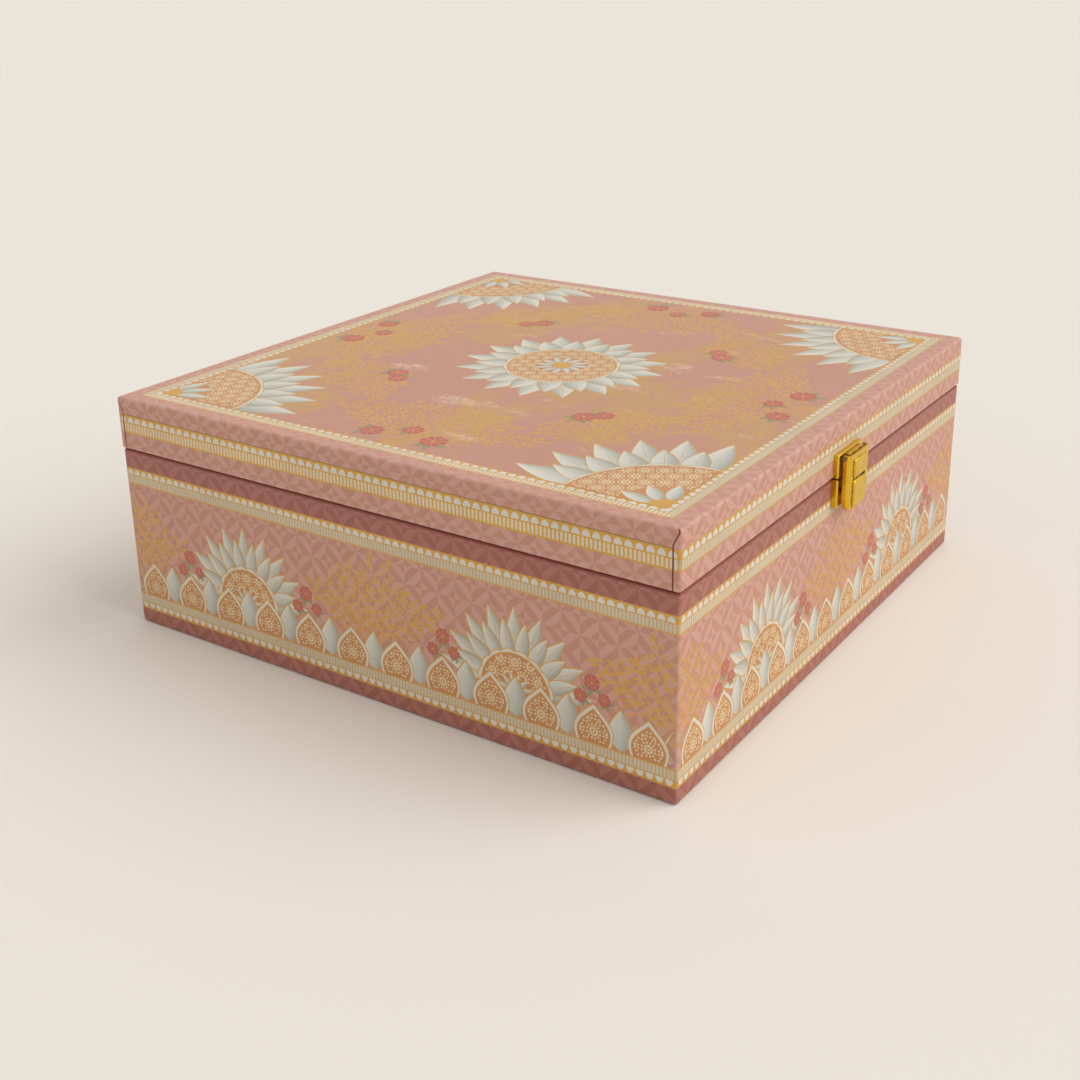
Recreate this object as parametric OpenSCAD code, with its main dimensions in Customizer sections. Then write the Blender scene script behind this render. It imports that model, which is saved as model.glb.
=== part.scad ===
// Square rigid sweet box: paper-wrapped fibreboard base and lid, two stop hinges at the back,
// a flap latch at the front and a slip-in divider. Millimetres, +Z up, front towards -Y,
// origin at the centre of the face the box stands on.

/* [Box] */
// Width over the lid, left to right
box_w = 254; // [200:1:320]
// Depth over the lid, front to back
box_d = 254; // [200:1:320]
// Height of the base, from the table to its rim
base_h = 76.2; // [72:0.1:120]
// Height of the lid, from its rim to its top
lid_h = 21.5; // [19.5:0.1:60]
// Gap between the two rims when the box is shut
seam_gap = 0.3; // [0.2:0.05:0.5]
// How far the lid stands out past the base on each side
lid_overhang = 0.4; // [0.1:0.05:0.8]
// Radius of the paper round the corners and the lid's top edges
edge_r = 1.5; // [0.8:0.1:2.5]

/* [Boards and paper] */
// Thickness of the wall, floor and top boards
board_t = 3; // [2.8:0.1:5]
// Thickness of the paper
paper_t = 0.3; // [0.2:0.05:0.4]
// Width of the outer paper turned in over each rim
turn_in = 12; // [6:0.5:13]
// Width of the outer paper turned under the floor
turn_under = 15; // [8:1:30]
// How far each wall lining stops short of its rim
lining_drop = 2.5; // [1:0.5:5]
// Margin left round the sheet under the floor
sheet_margin = 1.5; // [0.5:0.1:4]

/* [Divider] */
// Thickness of the divider strips
divider_t = 2; // [1:0.1:4]
// Height of the divider strips
divider_h = 60; // [30:1:64]
// Clearance of a strip in the other strip's slot, and at its ends
divider_play = 0.15; // [0.1:0.05:0.4]

/* [Hinges] */
// Distance of each hinge's middle from the middle of the box
hinge_x = 70; // [30:1:80]
// Length of each hinge along its pin
hinge_w = 25; // [20:0.5:34]
// Length of the lid's knuckle
lid_knuckle_w = 9; // [6:0.5:10]
// Height of each leaf, from the pin's axis to its far edge
leaf_h = 15; // [12:0.5:16]
// Thickness of the hinge's sheet metal
leaf_t = 0.8; // [0.6:0.05:1]
// Outer radius of the knuckles
knuckle_r = 1.7; // [1.6:0.05:2.4]
// Radius of the hinge pin
hinge_pin_r = 0.8; // [0.5:0.05:0.9]
// Angle at which the stop ends the lid's swing
lid_swing = 105; // [90:1:110]
// Length of the stop tongue from the pin's axis
stop_len = 4.5; // [3.6:0.1:6]
// Distance of the nails from the middle of the hinge
hinge_nail_x = 8.5; // [6:0.5:8.5]
// Distance of the nails from the pin's axis
hinge_nail_z = 9; // [6:0.5:10]

/* [Latch] */
// Width of the two latch plates
plate_w = 22; // [20:0.1:30]
// Height of the lid's latch plate above the lid's rim
lid_plate_h = 9.5; // [9.2:0.1:12]
// Height of the base's latch plate below the base's rim
base_plate_h = 11.2; // [10.8:0.1:16]
// How far the plates' faces stand out from the lid's front
plate_depth = 2; // [1.8:0.1:2.4]
// Thickness of the latch's sheet metal
latch_t = 0.7; // [0.5:0.05:0.8]
// Corner radius of the plates
plate_r = 1; // [0.5:0.1:1.5]
// Width of the flap
flap_w = 18.4; // [15.5:0.1:19]
// Distance from the flap's pin to its lower end
flap_drop = 22.1; // [20.6:0.1:26]
// Height of the flap's upper edge above its pin
flap_top = 0.9; // [0.7:0.05:1]
// Radius of the flap's two lower corners
flap_r = 6; // [3:0.5:7]
// Gap from the plates to the back of the flap
flap_gap = 1; // [0.8:0.05:1.3]
// Depth of the flap, from its back edge to its face
flap_depth = 2.7; // [2.6:0.1:3.4]
// Width of the raised pad on the flap
pad_w = 11.5; // [8:0.1:12]
// Height of the raised pad above the flap's face
pad_rise = 0.7; // [0.3:0.1:1]
// Width of the slot across the pad
pad_slot = 1; // [0.6:0.1:2]
// Margin from the pad to the flap's upper and lower ends
pad_margin = 2; // [1.5:0.1:4]
// Height of the flap's pin above the lid's rim
flap_pin_z = 8.1; // [7.8:0.1:8.1]
// Radius of the flap's pin
flap_pin_r = 0.55; // [0.4:0.05:0.6]
// Outer radius of the latch knuckle
latch_knuckle_r = 1.1; // [1:0.05:1.2]
// Length of the latch knuckle
latch_knuckle_w = 12.5; // [6:0.5:13]
// Width of the catch on the base's plate
catch_w = 4.8; // [3:0.1:5.4]

/* [Fits and nails] */
// Radial clearance of the pins in their knuckles
pin_play = 0.05; // [0.03:0.01:0.08]
// Gap between parts that move past each other
run_gap = 0.3; // [0.25:0.05:0.4]
// Gap left at the hinge's stop
stop_gap = 0.1; // [0.05:0.05:0.2]
// Radius of the nails
nail_r = 0.55; // [0.4:0.05:0.7]
// Radius of the nail heads
nail_head_r = 1.2; // [1:0.05:1.5]
// Height of the nail heads
nail_head_h = 0.5; // [0.3:0.05:0.6]
// How far the nails go into the boards
nail_grip = 2.4; // [1.5:0.1:2.6]

/* [Hidden] */
$fn = 48;
hull_fn = 32;
over = 1;

lid_paper = "#C99686";
base_paper = "#B9806F";
lining_paper = "#E3CDB4";
sheet_paper = "#8C5A4E";
fibreboard = "#A98B66";
gold = "#D9B23C";

function inset(half, by) = [half.x - by, half.y - by];

// Half sizes of the lid and the base, from the outside inwards
lid_out = [box_w / 2, box_d / 2];
lid_board_out = inset(lid_out, paper_t);
lid_board_in = inset(lid_board_out, board_t);
lid_turned = inset(lid_board_in, paper_t);
lid_clear = inset(lid_turned, paper_t);
base_out = inset(lid_out, lid_overhang);
base_board_out = inset(base_out, paper_t);
base_board_in = inset(base_board_out, board_t);
base_turned = inset(base_board_in, paper_t);
base_clear = inset(base_turned, paper_t);
board_r = edge_r - paper_t;

// Heights, from the table upwards
floor_z = 2 * paper_t;
floor_top = floor_z + board_t;
divider_z = floor_top + paper_t;
base_board_top = base_h - paper_t;
lid_z = base_h + seam_gap;
lid_top = lid_z + lid_h;
lid_board_z = lid_z + paper_t;
lid_board_top = lid_top - paper_t;
lid_ceiling = lid_board_top - board_t;

// Hinge: places are taken from the pin's axis
hinge_z = base_h + seam_gap / 2;
hinge_y = lid_out.y + knuckle_r + run_gap;
base_face_y = base_out.y - hinge_y;
lid_face_y = lid_out.y - hinge_y;
knuckle_clear = knuckle_r + run_gap;
base_knuckle_x = lid_knuckle_w / 2 + run_gap;
pin_head_t = 0.4;
pin_head_r = hinge_pin_r + knuckle_r / 4;
tongue_root = hinge_pin_r + 3 * pin_play;

// Latch: places are taken outwards from the lid's front face
flap_back = plate_depth + flap_gap;
flap_face = flap_back + flap_depth;
flap_inner = flap_face - latch_t;
pin_y = flap_inner - latch_knuckle_r - run_gap;
pin_z = lid_z + flap_pin_z;
ear_r = latch_knuckle_r + pin_play;
edge_round = 1.1;
edge_step = 0.4;
pad_bevel = 0.5;
catch_r = 1.2;
catch_drop = 8;
catch_z = base_h - catch_drop;
catch_y = flap_inner - run_gap - catch_r;
notch_w = catch_w + 4 * run_gap;
notch_h = 3 * latch_t;
latch_nail_x = 4.4;
lid_nail_rise = 3.4;
base_nail_drop = 3.6;
lid_latch_nail_z = lid_z + lid_nail_rise;
base_latch_nail_z = base_h - base_nail_drop;
plate_seam_gap = 0.1;
small_pin_head_t = 0.3;
small_pin_head_r = flap_pin_r + latch_t / 2;

// Rectangle with rounded corners
module rounded_plan(half, r) {
    square([2 * half.x, 2 * (half.y - r)], center = true);
    square([2 * (half.x - r), 2 * half.y], center = true);
    for (sx = [-1, 1], sy = [-1, 1]) {
        translate([sx * (half.x - r), sy * (half.y - r)]) circle(r);
    }
}

// Upright profile with its two upper corners rounded
module crowned_profile(half, z0, z1, r) {
    translate([-half, z0]) square([2 * half, z1 - r - z0]);
    translate([-(half - r), z0]) square([2 * (half - r), z1 - z0]);
    for (side = [-1, 1]) {
        translate([side * (half - r), z1 - r]) circle(r);
    }
}

// Block with rounded upright edges and rounded top edges
module crowned_block(half, z0, z1, r) {
    intersection() {
        translate([0, 0, z0]) linear_extrude(z1 - z0) rounded_plan(half, r);
        rotate([90, 0, 0]) linear_extrude(2 * half.y, center = true) crowned_profile(half.x, z0, z1, r);
        rotate([90, 0, 90]) linear_extrude(2 * half.x, center = true) crowned_profile(half.y, z0, z1, r);
    }
}

// Flat sheet or board between two heights
module slab(half, z0, z1) {
    translate([-half.x, -half.y, z0]) cube([2 * half.x, 2 * half.y, z1 - z0]);
}

// Band of paper between two heights, square inside and rounded outside
module rounded_band(outer, r, inner, z0, z1) {
    difference() {
        translate([0, 0, z0]) linear_extrude(z1 - z0) rounded_plan(outer, r);
        slab(inner, z0 - over, z1 + over);
    }
}

// Band of paper between two heights, square inside and outside
module square_band(outer, inner, z0, z1) {
    difference() {
        slab(outer, z0, z1);
        slab(inner, z0 - over, z1 + over);
    }
}

// Board across the whole width, at the front (side -1) or the back (side 1)
module cross_board(out, side, z0, z1) {
    intersection() {
        translate([0, 0, z0]) linear_extrude(z1 - z0) rounded_plan(out, board_r);
        translate([-out.x, side * (out.y - board_t / 2) - board_t / 2, z0]) cube([2 * out.x, board_t, z1 - z0]);
    }
}

// Board between the cross boards, at the left (side -1) or the right (side 1)
module end_board(out, side, z0, z1) {
    inner_y = out.y - board_t;
    translate([side * (out.x - board_t / 2) - board_t / 2, -inner_y, z0]) cube([board_t, 2 * inner_y, z1 - z0]);
}

module base_floor_board() {
    color(fibreboard) slab(base_board_in, floor_z, floor_top);
}

module base_front_board() {
    color(fibreboard) cross_board(base_board_out, -1, floor_z, base_board_top);
}

module base_back_board() {
    color(fibreboard) cross_board(base_board_out, 1, floor_z, base_board_top);
}

module base_left_board() {
    color(fibreboard) end_board(base_board_out, -1, floor_z, base_board_top);
}

module base_right_board() {
    color(fibreboard) end_board(base_board_out, 1, floor_z, base_board_top);
}

// Printed sheet round the four walls, turned under the floor and in over the rim
module base_wrap() {
    under = inset(base_out, turn_under);
    color(base_paper) {
        rounded_band(base_out, edge_r, under, paper_t, floor_z);
        difference() {
            translate([0, 0, floor_z]) linear_extrude(base_board_top - floor_z) rounded_plan(base_out, edge_r);
            translate([0, 0, floor_z - over]) linear_extrude(base_h + over) rounded_plan(base_board_out, board_r);
        }
        rounded_band(base_out, edge_r, base_turned, base_board_top, base_h);
        square_band(base_board_in, base_turned, base_h - turn_in, base_board_top);
    }
}

module base_wall_lining() {
    color(lining_paper) square_band(base_turned, base_clear, divider_z, base_h - lining_drop);
}

module base_floor_lining() {
    color(lining_paper) slab(base_turned, floor_top, divider_z);
}

module base_bottom_sheet() {
    color(sheet_paper) slab(inset(base_out, sheet_margin), 0, paper_t);
}

// Divider strip along X; its slot is open at the top, or at the bottom when low is true
module divider_strip(length, low) {
    slot_w = divider_t + 2 * divider_play;
    slot_z = low ? divider_z - over : divider_z + divider_h / 2;
    color(lining_paper) difference() {
        translate([-length / 2, -divider_t / 2, divider_z]) cube([length, divider_t, divider_h]);
        translate([-slot_w / 2, -divider_t, slot_z]) cube([slot_w, 2 * divider_t, divider_h / 2 + over]);
    }
}

module divider_across() {
    divider_strip(2 * (base_clear.x - divider_play), false);
}

module divider_along() {
    rotate([0, 0, 90]) divider_strip(2 * (base_clear.y - divider_play), true);
}

module lid_top_board() {
    color(fibreboard) crowned_block(lid_board_out, lid_ceiling, lid_board_top, board_r);
}

module lid_front_board() {
    color(fibreboard) cross_board(lid_board_out, -1, lid_board_z, lid_ceiling);
}

module lid_back_board() {
    color(fibreboard) cross_board(lid_board_out, 1, lid_board_z, lid_ceiling);
}

module lid_left_board() {
    color(fibreboard) end_board(lid_board_out, -1, lid_board_z, lid_ceiling);
}

module lid_right_board() {
    color(fibreboard) end_board(lid_board_out, 1, lid_board_z, lid_ceiling);
}

// Printed sheet over the lid's top and walls, turned in over the rim
module lid_wrap() {
    color(lid_paper) {
        difference() {
            crowned_block(lid_out, lid_z, lid_top, edge_r);
            crowned_block(lid_board_out, lid_board_z, lid_board_top, board_r);
            slab(lid_turned, lid_z - over, lid_board_z + over);
        }
        square_band(lid_board_in, lid_turned, lid_z, lid_z + turn_in);
    }
}

module lid_wall_lining() {
    color(lining_paper) square_band(lid_turned, lid_clear, lid_z + lining_drop, lid_ceiling - paper_t);
}

module lid_top_lining() {
    color(lining_paper) slab(lid_turned, lid_ceiling - paper_t, lid_ceiling);
}

module at_hinge(side) {
    translate([side * hinge_x, hinge_y, hinge_z]) children();
}

// Nail along +Z with its head's flat side at the origin
module nail(length) {
    dome_r = (nail_head_r * nail_head_r + nail_head_h * nail_head_h) / (2 * nail_head_h);
    intersection() {
        translate([0, 0, nail_head_h - dome_r]) sphere(dome_r);
        cylinder(h = nail_head_h, r = nail_head_r);
    }
    translate([0, 0, -length]) cylinder(h = length + nail_head_h / 2, r = nail_r);
}

module nail_hole(depth) {
    translate([0, 0, -depth]) cylinder(h = 2 * depth, r = nail_r + pin_play);
}

// One rolled knuckle with the sheet that carries it, below the pin's axis
module knuckle(face_y, x0, x1) {
    translate([x0, face_y, -knuckle_clear - leaf_t]) {
        cube([x1 - x0, leaf_t, knuckle_clear - knuckle_r + 2 * leaf_t]);
    }
    translate([x0, face_y, -knuckle_r]) cube([x1 - x0, -face_y, leaf_t]);
    translate([x0, 0, 0]) rotate([0, 90, 0]) cylinder(h = x1 - x0, r = knuckle_r);
}

// Leaf that hangs below the pin's axis, with knuckles along the given spans
module hinge_leaf(face_y, spans) {
    difference() {
        union() {
            translate([-hinge_w / 2, face_y, -leaf_h]) cube([hinge_w, leaf_t, leaf_h - knuckle_clear]);
            for (span = spans) {
                knuckle(face_y, span[0], span[1]);
            }
        }
        hinge_bore();
        for (side = [-1, 1]) {
            translate([side * hinge_nail_x, face_y + leaf_t, -hinge_nail_z]) rotate([-90, 0, 0]) nail_hole(2 * leaf_t);
        }
    }
}

module hinge_bore() {
    rotate([0, 90, 0]) cylinder(h = 2 * hinge_w, r = hinge_pin_r + pin_play, center = true);
}

// Leaf on the base, with the two outer knuckles
module base_leaf() {
    color(gold) hinge_leaf(base_face_y, [[-hinge_w / 2, -base_knuckle_x], [base_knuckle_x, hinge_w / 2]]);
}

// Leaf on the lid, with the middle knuckle and the tongue that meets the base leaf at the end of the swing
module lid_leaf() {
    color(gold) difference() {
        union() {
            mirror([0, 0, 1]) hinge_leaf(lid_face_y, [[-lid_knuckle_w / 2, lid_knuckle_w / 2]]);
            rotate([lid_swing, 0, 0]) {
                translate([-lid_knuckle_w / 2, base_face_y + leaf_t + stop_gap, -stop_len]) {
                    cube([lid_knuckle_w, leaf_t, stop_len - tongue_root]);
                }
            }
        }
        hinge_bore();
    }
}

module hinge_pin() {
    shank = hinge_w + 2 * pin_play;
    color(gold) rotate([0, 90, 0]) {
        cylinder(h = shank, r = hinge_pin_r, center = true);
        for (side = [-1, 1]) {
            translate([0, 0, side * (shank + pin_head_t) / 2]) {
                cylinder(h = pin_head_t, r = pin_head_r, center = true);
            }
        }
    }
}

module hinge_left_base_leaf() {
    at_hinge(-1) base_leaf();
}

module hinge_right_base_leaf() {
    at_hinge(1) base_leaf();
}

module hinge_left_lid_leaf() {
    at_hinge(-1) lid_leaf();
}

module hinge_right_lid_leaf() {
    at_hinge(1) lid_leaf();
}

module hinge_left_pin() {
    at_hinge(-1) hinge_pin();
}

module hinge_right_pin() {
    at_hinge(1) hinge_pin();
}

// The nails of both hinges on one face, below (-1) or above (1) the pins
module hinge_nails(face_y, level) {
    color(gold) for (side = [-1, 1], row = [-1, 1]) {
        at_hinge(side) translate([row * hinge_nail_x, face_y + leaf_t, level * hinge_nail_z]) {
            rotate([-90, 0, 0]) nail(leaf_t + paper_t + nail_grip);
        }
    }
}

module hinge_base_nails() {
    hinge_nails(base_face_y, -1);
}

module hinge_lid_nails() {
    hinge_nails(lid_face_y, 1);
}

// Turns a part built outwards along +Y from the lid's front face to its place
module at_front() {
    rotate([0, 0, 180]) translate([0, lid_out.y, 0]) children();
}

// Pressed plate with an open back, from the wall at y0 to its face
module tray(z0, z1, y0) {
    half_w = plate_w / 2;
    difference() {
        translate([0, 0, z0]) linear_extrude(z1 - z0) {
            translate([-half_w, y0]) square([plate_w, plate_depth - plate_r - y0]);
            translate([-(half_w - plate_r), y0]) square([plate_w - 2 * plate_r, plate_depth - y0]);
            for (side = [-1, 1]) {
                translate([side * (half_w - plate_r), plate_depth - plate_r]) circle(plate_r);
            }
        }
        translate([-(half_w - plate_r), y0 - over, z0 + latch_t]) {
            cube([plate_w - 2 * plate_r, plate_depth - latch_t - y0 + over, z1 - z0 - 2 * latch_t]);
        }
    }
}

module latch_nail_places(z) {
    for (side = [-1, 1]) {
        translate([side * latch_nail_x, plate_depth, z]) rotate([-90, 0, 0]) children();
    }
}

module latch_bore() {
    translate([0, pin_y, pin_z]) rotate([0, 90, 0]) cylinder(h = 2 * flap_w, r = flap_pin_r + pin_play, center = true);
}

// Plate on the lid, with the rolled knuckle that carries the flap
module latch_lid_plate() {
    roll_z = pin_z + latch_knuckle_r - latch_t;
    color(gold) at_front() difference() {
        union() {
            tray(lid_z + plate_seam_gap, lid_z + lid_plate_h, 0);
            translate([-latch_knuckle_w / 2, plate_depth - latch_t, roll_z]) {
                cube([latch_knuckle_w, pin_y - plate_depth + latch_t, latch_t]);
            }
            translate([0, pin_y, pin_z]) rotate([0, 90, 0]) {
                cylinder(h = latch_knuckle_w, r = latch_knuckle_r, center = true);
            }
        }
        latch_bore();
        latch_nail_places(lid_latch_nail_z) nail_hole(plate_depth);
    }
}

// Plate on the base, with the round-nosed catch that the flap closes over
module latch_base_plate() {
    color(gold) at_front() difference() {
        union() {
            tray(base_h - base_plate_h, base_h - plate_seam_gap, -lid_overhang);
            translate([-catch_w / 2, plate_depth - latch_t, catch_z - catch_r]) {
                cube([catch_w, catch_y - plate_depth + latch_t, 2 * catch_r]);
            }
            translate([0, catch_y, catch_z]) rotate([0, 90, 0]) cylinder(h = catch_w, r = catch_r, center = true);
        }
        latch_nail_places(base_latch_nail_z) nail_hole(plate_depth + lid_overhang);
    }
}

module latch_lid_nails() {
    color(gold) at_front() latch_nail_places(lid_latch_nail_z) nail(plate_depth + paper_t + nail_grip);
}

module latch_base_nails() {
    color(gold) at_front() {
        latch_nail_places(base_latch_nail_z) nail(plate_depth + lid_overhang + paper_t + nail_grip);
    }
}

module latch_pin() {
    shank = flap_w + 2 * pin_play;
    color(gold) at_front() translate([0, pin_y, pin_z]) rotate([0, 90, 0]) {
        cylinder(h = shank, r = flap_pin_r, center = true);
        for (side = [-1, 1]) {
            translate([0, 0, side * (shank + small_pin_head_t) / 2]) {
                cylinder(h = small_pin_head_t, r = small_pin_head_r, center = true);
            }
        }
    }
}

// Outline of the flap in X and Z from its pin, drawn in by a margin at the sides and the lower end
module flap_outline(margin) {
    half_w = flap_w / 2 - margin;
    r = flap_r - margin;
    corner_z = r - flap_drop + margin;
    translate([-half_w, corner_z]) square([2 * half_w, flap_top - corner_z]);
    translate([-(half_w - r), margin - flap_drop]) square([2 * (half_w - r), r]);
    for (side = [-1, 1]) {
        translate([side * (half_w - r), corner_z]) circle(r);
    }
}

// Layer of the flap's outline between two distances from the lid's front face
module flap_layer(margin, y0, y1) {
    translate([0, y1, pin_z]) rotate([90, 0, 0]) linear_extrude(y1 - y0) flap_outline(margin);
}

// Raised pad between two heights, with bevelled edges
module bevelled_pad(z0, z1) {
    half_w = pad_w / 2;
    top = flap_face + pad_rise;
    intersection() {
        translate([0, 0, z0]) linear_extrude(z1 - z0) polygon([
            [-half_w, flap_inner], [half_w, flap_inner], [half_w, flap_face],
            [half_w - pad_bevel, top], [-half_w + pad_bevel, top], [-half_w, flap_face]
        ]);
        rotate([90, 0, 90]) linear_extrude(pad_w, center = true) polygon([
            [flap_inner, z0], [flap_face, z0], [top, z0 + pad_bevel],
            [top, z1 - pad_bevel], [flap_face, z1], [flap_inner, z1]
        ]);
    }
}

// Pressed flap: a hollow shell hung on the pin, with a split pad and a notch for the catch
module latch_flap() {
    low_z = pin_z - flap_drop;
    slot_z = lid_z - flap_gap;
    color(gold) at_front() difference() {
        union() {
            hull() {
                flap_layer(0, flap_back, flap_face - edge_round, $fn = hull_fn);
                flap_layer(edge_step, flap_back, flap_face - edge_step, $fn = hull_fn);
                flap_layer(edge_round, flap_back, flap_face, $fn = hull_fn);
            }
            bevelled_pad(low_z + pad_margin, slot_z - pad_slot / 2);
            bevelled_pad(slot_z + pad_slot / 2, pin_z + flap_top - pad_margin);
            for (side = [-1, 1]) {
                translate([side * (flap_w - latch_t) / 2, pin_y, pin_z]) rotate([0, 90, 0]) {
                    cylinder(h = latch_t, r = ear_r, center = true);
                }
            }
        }
        flap_layer(latch_t, flap_back - over, flap_face - edge_round - edge_step);
        flap_layer(2 * latch_t, flap_back - over, flap_inner);
        translate([-notch_w / 2, flap_back - over, low_z - over]) {
            cube([notch_w, flap_inner - flap_back + over, notch_h + over]);
        }
        latch_bore();
    }
}

base_floor_board();
base_front_board();
base_back_board();
base_left_board();
base_right_board();
base_wrap();
base_wall_lining();
base_floor_lining();
base_bottom_sheet();
divider_across();
divider_along();
hinge_left_base_leaf();
hinge_right_base_leaf();
hinge_left_pin();
hinge_right_pin();
hinge_base_nails();
latch_base_plate();
latch_base_nails();
lid_top_board();
lid_front_board();
lid_back_board();
lid_left_board();
lid_right_board();
lid_wrap();
lid_wall_lining();
lid_top_lining();
hinge_left_lid_leaf();
hinge_right_lid_leaf();
hinge_lid_nails();
latch_lid_plate();
latch_lid_nails();
latch_pin();
latch_flap();
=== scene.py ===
import math
import random

import bmesh
import bpy
from mathutils import Matrix, Vector


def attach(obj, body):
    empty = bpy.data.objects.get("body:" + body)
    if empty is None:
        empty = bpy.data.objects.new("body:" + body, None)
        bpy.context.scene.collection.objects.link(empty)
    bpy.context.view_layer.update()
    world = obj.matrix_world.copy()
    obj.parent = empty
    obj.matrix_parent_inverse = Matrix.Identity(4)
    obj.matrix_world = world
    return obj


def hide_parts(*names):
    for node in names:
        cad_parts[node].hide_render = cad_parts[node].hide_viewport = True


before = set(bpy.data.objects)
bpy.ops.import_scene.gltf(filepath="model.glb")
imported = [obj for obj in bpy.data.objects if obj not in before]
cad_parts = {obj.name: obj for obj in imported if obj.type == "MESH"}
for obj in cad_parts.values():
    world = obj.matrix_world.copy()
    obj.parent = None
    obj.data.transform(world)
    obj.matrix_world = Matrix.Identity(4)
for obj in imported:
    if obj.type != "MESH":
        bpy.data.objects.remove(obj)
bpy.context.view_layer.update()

bl_info = {
    "name": "Paper-wrapped sweet box",
    "version": (1, 0, 0),
    "blender": (4, 5, 0),
    "location": "3D View > Sidebar > Sweet Box",
    "description": "Builds the printed papers, the gold-plated latch and the stage round a packed sweet box",
    "category": "Object",
}

MM = 0.001
LID_HALF = 127.0
BASE_HALF = 126.6
BASE_TOP = 76.2
LID_RIM = 76.5
LID_TOP = 98.0
PAPER = 0.3
BOARD = 3.0
CORNER = 0.9
# Radius of the folded rims, and how far the papers turn in behind them
RIM_FOLD = 0.8
TURN_IN = 12.0
# Facets round a folded or pressed edge
FOLD_STEPS = 5
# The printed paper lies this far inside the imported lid, so that the inks stay in its box
INK_ROOM = 0.07
# Inks that overlap are laid on each other in steps of this height
INK_STEP = 0.0016
INK_SINK = 0.02
# The lid's sheet is slit on the left and right walls, this far from each corner, so that it folds down
SLIT_IN = 2.25
SLIT_WIDE = 0.6
# From the baluster side to the beads: ink, or none for the ground's own, and where the row starts and ends
BORDER_HEIGHT = 7.0
BORDER_ROWS = (("gold", 0, 0.5), (None, 0.5, 4.0), ("gold", 4.0, BORDER_HEIGHT))
# Ground and balusters: soft in tone along the front and back and on the base, clearer on the lid's ends
BAR_INKS = (("tan", "stone"), ("gold", "cream"))
# The part of its pitch that a baluster fills, on the walls and on the lid's top
WALL_BARS, TOP_BARS = 0.58, 0.7
# The dark line over the beads on the lid's ends
HAIRLINE = 0.32
# Levels at which the motifs start, from the sheet upwards, so that no two that overlap share one
SPRIG, LOTUS, FLUTE, FRIEZE, BLOSSOM = 0, 10, 24, 26, 31


def linear(code):
    """An sRGB hex colour as the linear red, green, blue and alpha that Blender works in."""
    parts = [int(code[i:i + 2], 16) / 255 for i in (1, 3, 5)]
    return [c / 12.92 if c <= 0.04045 else ((c + 0.055) / 1.055) ** 2.4 for c in parts] + [1.0]


def colour(name, description, code):
    return bpy.props.FloatVectorProperty(
        name=name, description=description, default=linear(code), size=4, min=0, max=1, subtype="COLOR")


def length(name, description, mm):
    return bpy.props.FloatProperty(name=name, description=description, default=mm * MM, min=0, unit="LENGTH")


class SweetBoxPrint(bpy.types.PropertyGroup):
    """Colours and sizes of the printed papers."""
    pink: colour("Pink", "Light tone of the lattice on the pink ground", "#CD9B8C")
    pink_shade: colour("Pink shade", "Dark tone of the lattice on the pink ground", "#C28B78")
    maroon: colour("Maroon", "Light tone of the lattice on the maroon bands", "#AA6D5F")
    maroon_shade: colour("Maroon shade", "Dark tone of the lattice on the maroon bands", "#9E5E4F")
    # Slit: the dark of the lid's slit floors, partly glue and board edge and partly painted shade of the
    # narrow slits; it is also the painted shade of the seam on the base's rim
    slit: colour("Slit", "Dust and glue in the lid's slits and along the seam", "#7E3226")
    gold: colour("Gold ink", "Rules, stems and outlines", "#D4A145")
    tan: colour("Tan ink", "Ground behind the balusters", "#C8AC80")
    cream: colour("Cream ink", "Balusters on the lid's ends", "#DDD0B9")
    stone: colour("Stone ink", "Balusters everywhere else", "#D1C3AA")
    straw: colour("Straw ink", "Petals of the pierced screens", "#E4D0A6")
    umber: colour("Umber ink", "Hairline over the beads on the lid's ends", "#84703F")
    bead: colour("Bead white", "Half-round beads of the borders", "#D9D4CB")
    ivory: colour("Ivory ink", "Lit side of the petals", "#DEDACD")
    ivory_shade: colour("Ivory shade", "Grey side of the petals", "#A3A59B")
    terracotta: colour("Terracotta ink", "Ground of the pierced screens", "#C58A59")
    rose: colour("Rose ink", "Blossoms", "#BD635C")
    leaf: colour("Leaf green ink", "Small leaves by the blossoms", "#96956A")
    wash_gold: colour("Gold wash", "Brushed wash on the lid", "#C4985C")
    wash_cream: colour("Cream wash", "Brushed wash on the lid", "#E0BCA0")
    lattice_pitch: length("Lattice pitch", "Distance between two crossings of the tonal lattice", 14.7)
    lotus_height: length("Lotus height", "Length of the longest petals on the walls", 32)


class SweetBoxMetal(bpy.types.PropertyGroup):
    """Colour and sizes of the latch and hinges."""
    gold: colour("Gold plate", "Colour of the gold-plated steel", "#E7BD38")
    tarnish: colour("Tarnish", "Darker film in patches of the plating", "#C48A2C")
    worn: colour("Worn pin", "Steel that shows where the pins' plating is worn", "#8C8268")
    # Recess: colour of the darkened grooves and slot, partly oil and tarnish and partly painted shade
    recess_tarnish_and_shade: colour("Recess", "Oil and tarnish held in the pressed grooves", "#2E1C08")
    edge: length("Flap edge", "Radius of the flap's pressed edge", 1.5)
    plate_edge: length("Plate edge", "Radius of the plates' pressed edges", 0.7)


class SweetBoxInside(bpy.types.PropertyGroup):
    """Colours inside and under the box."""
    lining: colour("Lining", "Cream lining paper", "#E6D5BF")
    divider: colour("Divider", "Face of the divider boards", "#E4D2BB")
    board: colour("Fibreboard", "Medium-density fibreboard", "#A98B66")
    sheet: colour("Bottom sheet", "Sheet glued under the floor", "#8C5A4E")


class SweetBoxStage(bpy.types.PropertyGroup):
    """Floor, background and light."""
    floor: colour("Floor", "Plain pale floor and background", "#EEE7DC")
    sky: bpy.props.FloatProperty(
        name="Sky light", description="Strength of the even light from all round", default=0.62, min=0)
    key: bpy.props.FloatProperty(
        name="Key light", description="Strength of the wide soft sun", default=1.6, min=0)


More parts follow.
